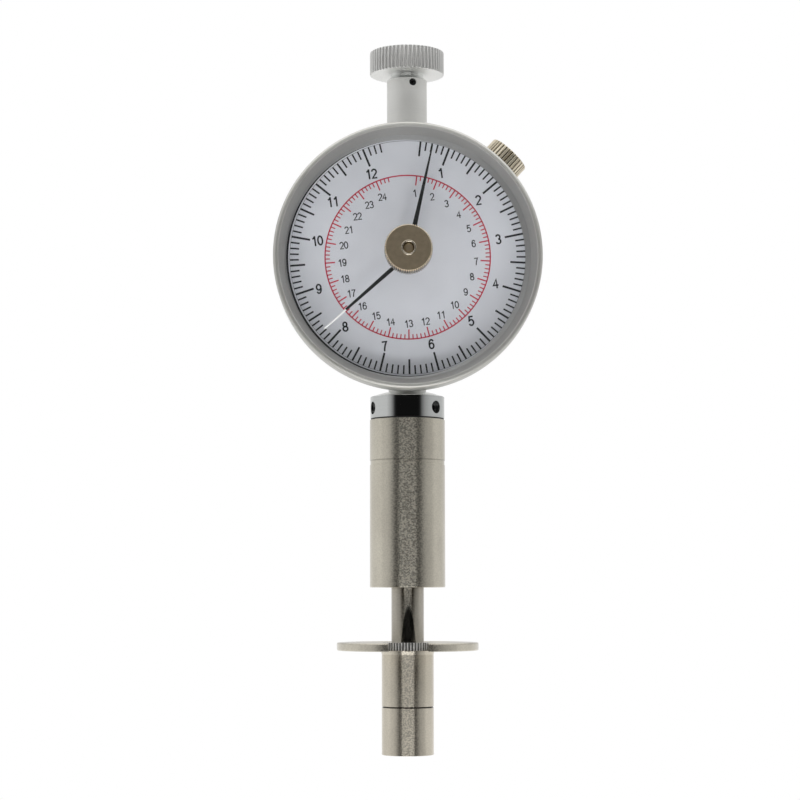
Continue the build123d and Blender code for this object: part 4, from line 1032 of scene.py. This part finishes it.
# Reset knob, its eye and the arbor's riveted end
KNOB_RADIUS = 5.0
KNOB_FACE = KNOB_RADIUS - 0.37
KNOB_TEETH = 64
KNOB_TOOTH = 0.3
KNOB_BEVEL = 0.34
ARBOR_RADIUS, RIVET_RADIUS = 0.9, 1.0
KNOB_BORE = ARBOR_RADIUS + FIT
EYE_RADIUS = 1.2
EYE_SEAT = EYE_RADIUS + 0.1
EYE_RIM = EYE_RADIUS + 0.4
EYE_EDGE = 0.19
knob_back, knob_front = forward("reset_knob")
knob_face = knob_front - 0.2
eye_floor, eye_bottom, eye_step = knob_face - 1.0, knob_face - 0.6, knob_face - 0.02
# The knob's finish paints a highlight just below its face and shade on its knurled side.
knob_brass = aged_brass("knob_brass", BRASS_DARK, BRASS_LIGHT, smooth=0.46, coarse=0.52, face=knob_face)
knob_mesh = knurled(
    [(KNOB_BORE, knob_back)],
    KNOB_RADIUS, KNOB_TOOTH, KNOB_TEETH, knob_back, knob_face, KNOB_BEVEL, ROUND_TOOTH,
    [(KNOB_FACE, knob_face), (EYE_SEAT, knob_face), (EYE_SEAT, eye_floor), (KNOB_BORE, eye_floor)],
)
piece("knob_knurled", knob_mesh, dial_frame, "peak", knob_brass, "brass", "reset_knob")
eye_mesh = lathe([
    (EYE_RADIUS, eye_bottom), (EYE_RADIUS, knob_front, EYE_EDGE), (EYE_RIM, knob_front, EYE_EDGE),
    (EYE_RIM, eye_step), (EYE_SEAT, eye_step), (EYE_SEAT, eye_bottom),
], SMALL)
piece("knob_eye", eye_mesh, dial_frame, "peak", eye_brass, "brass")
ARBOR_CREASE = 40
arbor_back = forward("reset_arbor")[0]
rivet_top = eye_floor + 0.5
arbor_mesh = creased(spun(soften([
    (0, arbor_back), (ARBOR_RADIUS, arbor_back), (ARBOR_RADIUS, eye_floor),
    (RIVET_RADIUS, eye_floor), (RIVET_RADIUS, rivet_top, 0.35), (0, rivet_top),
]), SMALL), ARBOR_CREASE)
piece("arbor_domed", arbor_mesh, dial_frame, "peak", brass, "brass", "reset_arbor")

# Pointers
HUB_RADIUS = 1.5
BLADE_START = 1.3
BLADE_SIDE, BLADE_RIDGE = 0.175, 0.25


def blade(back, *sections):
    """Tapered pointer blade with a slightly raised middle line, from (distance, width) sections."""
    shape = bmesh.new()
    side, ridge = back + BLADE_SIDE, back + BLADE_RIDGE
    rows = []
    for distance, width in sections:
        half = width / 2
        outline = [(-half, back), (half, back), (half, side), (0, ridge), (-half, side)]
        rows.append([shape.verts.new((x * MM, distance * MM, z * MM)) for x, z in outline])
    bar(shape, rows)
    return finished(shape)


def hub(node, bore):
    """Turned hub of a pointer, as deep as its CAD node."""
    back, front = forward(node)
    corners = [(bore, back), (HUB_RADIUS, back), (HUB_RADIUS, front, 0.15), (bore, front)]
    return spun(soften(corners), SMALL)


def pointer_frame(angle):
    """Dial frame turned so that its y axis points along a pointer."""
    return dial_frame @ Matrix.Rotation(-math.radians(angle), 4, "Z")


MAIN_ANGLE = 12.5
MAIN_BORE = 0.82
MAIN_LENGTH = RING_INNER - 0.65
main_back = dial_face + 1.4
main_frame = pointer_frame(MAIN_ANGLE)
main_blade = blade(main_back, (BLADE_START, 1.2), (MAIN_LENGTH, 0.27))
main_mesh = creased(joined([hub("main_pointer", MAIN_BORE), main_blade]))
piece("pointer_main", main_mesh, main_frame, "pointer", pointer_black, "pointer_black", "main_pointer")
PEAK_ANGLE = 228.4
PEAK_LENGTH = RING_INNER - 1.5
TIP_START = PEAK_LENGTH - 6.1
peak_back = dial_face + 2.6
peak_frame = pointer_frame(PEAK_ANGLE)
peak_blade = blade(peak_back, (BLADE_START, 0.95), (TIP_START, 0.52))
peak_mesh = creased(joined([hub("peak_pointer", KNOB_BORE), peak_blade]))
piece("pointer_peak", peak_mesh, peak_frame, "peak", pointer_black, "pointer_black", "peak_pointer")
# The metal tip is coloured white as a painted highlight.
tip_mesh = creased(blade(peak_back, (TIP_START, 0.42), (PEAK_LENGTH, 0.34)))
piece("pointer_peak_tip", tip_mesh, peak_frame, "peak", tip_painted_highlight, "chrome")

# Lock screw
LOCK_RADIUS = 4.6
LOCK_FACE = LOCK_RADIUS - 0.6
LOCK_TEETH = 34
LOCK_TOOTH = 0.35
LOCK_BEVEL = 0.2
LOCK_SHANK = 1.5
SHANK_BEVEL = 0.1
lock_start = CASE_RADIUS + 1.4
lock_end = lock_start + 4.9
shank_end = CASE_INNER - 1.0
shank_tip = LOCK_SHANK - SHANK_BEVEL
lock_mesh = knurled(
    [(0, shank_end), (shank_tip, shank_end), (LOCK_SHANK, shank_end + SHANK_BEVEL), (LOCK_SHANK, lock_start)],
    LOCK_RADIUS, LOCK_TOOTH, LOCK_TEETH, lock_start, lock_end, LOCK_BEVEL, BROAD_TOOTH,
    [(LOCK_FACE, lock_end), (0, lock_end)],
)
piece("lock_knurled", lock_mesh, lock_frame, "lock", lock_brass, "brass", "lock_screw")

# Force spring: square wire wound to the solid's height; the real one shortens as the plunger rises
spring_low, spring_high = span("force_spring")
WIRE = 1.5
WIRE_CREASE = 35
SPRING_RADIUS = 4.8
SPRING_TURNS = 8.5
TURN_STEPS = 24
spring_rise = spring_high - spring_low - WIRE
spring_shape = bmesh.new()
spring_rows = []
for step in range(int(SPRING_TURNS * TURN_STEPS) + 1):
    angle = 2 * math.pi * step / TURN_STEPS
    middle = spring_low + WIRE / 2 + spring_rise * step / (SPRING_TURNS * TURN_STEPS)
    row = []
    for side, lift in ((-1, -1), (1, -1), (1, 1), (-1, 1)):
        reach, height = (SPRING_RADIUS + side * WIRE / 2) * MM, (middle + lift * WIRE / 2) * MM
        row.append(spring_shape.verts.new((reach * math.cos(angle), reach * math.sin(angle), height)))
    spring_rows.append(row)
bar(spring_shape, spring_rows)
spring_mesh = creased(finished(spring_shape), WIRE_CREASE)
spring = piece(
    "spring_wound", spring_mesh, base_frame, "case", spring_wire, "spring_steel", "force_spring"
)
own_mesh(spring)

# Inner pieces and small fasteners keep their solids
dress(inner_steel, "spindle", "spring_follower", "guide_pin", "rack", "rack_screws", "pinion_arbor")
dress(inner_steel, "cock_screws", "guide_channel_screws")
dress(brass, "front_bush", "lower_bush", "crystal_bush", "pinion_cock", "guide_channel")
dress(spring_wire, "bezel_snap_ring", "friction_washer")
dress(black_steel, "collar_set_screws", "cap_set_screw")
dress(satin, "bezel_clamp")

# Camera
camera_data = bpy.data.cameras.new("camera")
camera_data.sensor_width = 36.0
camera_data.lens = 98.685
camera_data.clip_start = 0.01
camera_data.clip_end = 50
camera = placed("camera", camera_data)
camera.location = (-0.007, -0.467, 0.0333)
camera.rotation_euler = (math.radians(90 + 5.107), math.radians(0.07), math.radians(-0.66))
scene.camera = camera

# Floor: white paper below and behind the tool, which glows a little less near the tool
FLOOR_Z = -0.11
FLOOR_SIDE, FLOOR_FRONT, FLOOR_BACK = 4, -0.06, 8
GLOW_REACH = 600


def white_paper():
    """Paper that shows an even white to the camera and in reflections, and still takes a faint shadow."""
    look = Finish("floor_paper", (0.93, 0.93, 0.93), 0.0, 0.9)
    paper = look.noise(look.stretched(0.02, 0.02, 0.02), 1.0, 3, 0.5)
    look.drive(look.ramp(paper, (0.3, 0.92), (0.7, 0.94)), "Base Color")
    glow = look.result("Emission", {"Strength": 1.0}, "Emission")
    seen = look.math("MAXIMUM", look.ray("Camera"), look.ray("Glossy"))
    seen = look.math("MAXIMUM", seen, look.ray("Transmission"))
    away = look.math("DIVIDE", look.length(look.places), GLOW_REACH)
    share = look.math("MULTIPLY", seen, look.ramp(away, (0.1, 0.75), (0.7, 1.0)))
    surfaces = {0: share, 1: look.shader.outputs["BSDF"], 2: glow}
    look.show(look.result("MixShader", surfaces, "Shader"))
    return look.material


floor_corners = [
    (-FLOOR_SIDE, FLOOR_FRONT, 0), (FLOOR_SIDE, FLOOR_FRONT, 0),
    (FLOOR_SIDE, FLOOR_BACK, 0), (-FLOOR_SIDE, FLOOR_BACK, 0),
]
floor_mesh = bpy.data.meshes.new("floor")
floor_mesh.from_pydata(floor_corners, [], [(0, 1, 2, 3)])
floor_mesh.materials.append(white_paper())
floor = placed("floor", floor_mesh)
floor.location = (0, 0, FLOOR_Z)

# World: white for the camera; metal mirrors bright sides, a dim ceiling and a dark room in front
AROUND = [
    (-180, 0.8), (-130, 0.62), (-90, 0.62), (-68, 0.60), (-54, 0.38), (-44, 0.11), (-40, 0.02), (-34, 0.006),
    (34, 0.006), (40, 0.025), (44, 0.12), (56, 0.33), (70, 0.44), (84, 0.50), (130, 0.54), (180, 0.8),
]
CEILING = (0.35, 0.35, 0.35, 1)
WHITE = (1, 1, 1, 1)
world = bpy.data.worlds.new("studio")
scene.world = world
world.use_nodes = True
studio = Nodes(world.node_tree)
direction = studio.result("TexCoord", {}, "Generated")
turn = studio.math("ADD", studio.math("DIVIDE", studio.bearing(direction), 2 * math.pi), 0.5)
sides = studio.ramp(turn, *[(angle / 360 + 0.5, grey) for angle, grey in AROUND])
height = studio.math("ADD", studio.math("MULTIPLY", studio.part(direction, "Z"), 0.5), 0.5)
room = studio.mix(studio.ramp(height, (0.64, 0.0), (0.8, 1.0)), sides, CEILING)
background = studio.tree.nodes["Background"]
studio.put(studio.mix(studio.ray("Camera"), room, WHITE), background.inputs["Color"])
studio.put(1.0, background.inputs["Strength"])

# Lights: a ceiling and two low panels that show only in reflections, and fills that give only diffuse light
DIAL_MIDDLE = (0, -0.0085, dial_z * MM)


def panel(name, place, along, across, watts, mirrored):
    """Rectangular light at a place, facing the dial's middle, that is only mirrored or only diffuse."""
    data = bpy.data.lights.new(name, "AREA")
    data.shape = "RECTANGLE"
    data.size, data.size_y = along, across
    data.energy = watts
    lamp = placed(name, data)
    lamp.location = place
    lamp.rotation_euler = (Vector(DIAL_MIDDLE) - Vector(place)).to_track_quat("-Z", "Y").to_euler()
    lamp.visible_camera = False
    lamp.visible_diffuse = not mirrored
    lamp.visible_glossy = mirrored


MIRRORED = [
    ("ceiling", (0, 0, 1.0), 2.8, 2.8, 19.0),
    ("key", (0, -0.25, -0.145), 0.28, 0.109, 0.30),
    ("low", (0, -0.12, -0.30), 0.30, 0.12, 0.22),
]
for row in MIRRORED:
    panel(*row, mirrored=True)
FILLS = [
    ((0, -0.41, 0.305), 0.46, 0.17, 0.21),
    ((0, -0.41, -0.475), 0.40, 0.06, 1.05),
    ((0.30, -0.41, 0.08), 0.20, 0.30, 0.18),
    ((0.30, -0.41, -0.457), 0.30, 0.10, 0.27),
    ((0.605, -0.41, -0.403), 0.30, 0.10, 1.2),
    ((0, -0.142, -0.415), 0.30, 0.08, 1.2),
    ((0.30, -0.142, -0.415), 0.20, 0.08, 1.3),
]
for (aside, y, z), along, across, watts in FILLS:
    for x in sorted({-aside, aside}):
        panel("fill", (x, y, z), along, across, watts, mirrored=False)

scene.view_settings.view_transform = "Standard"
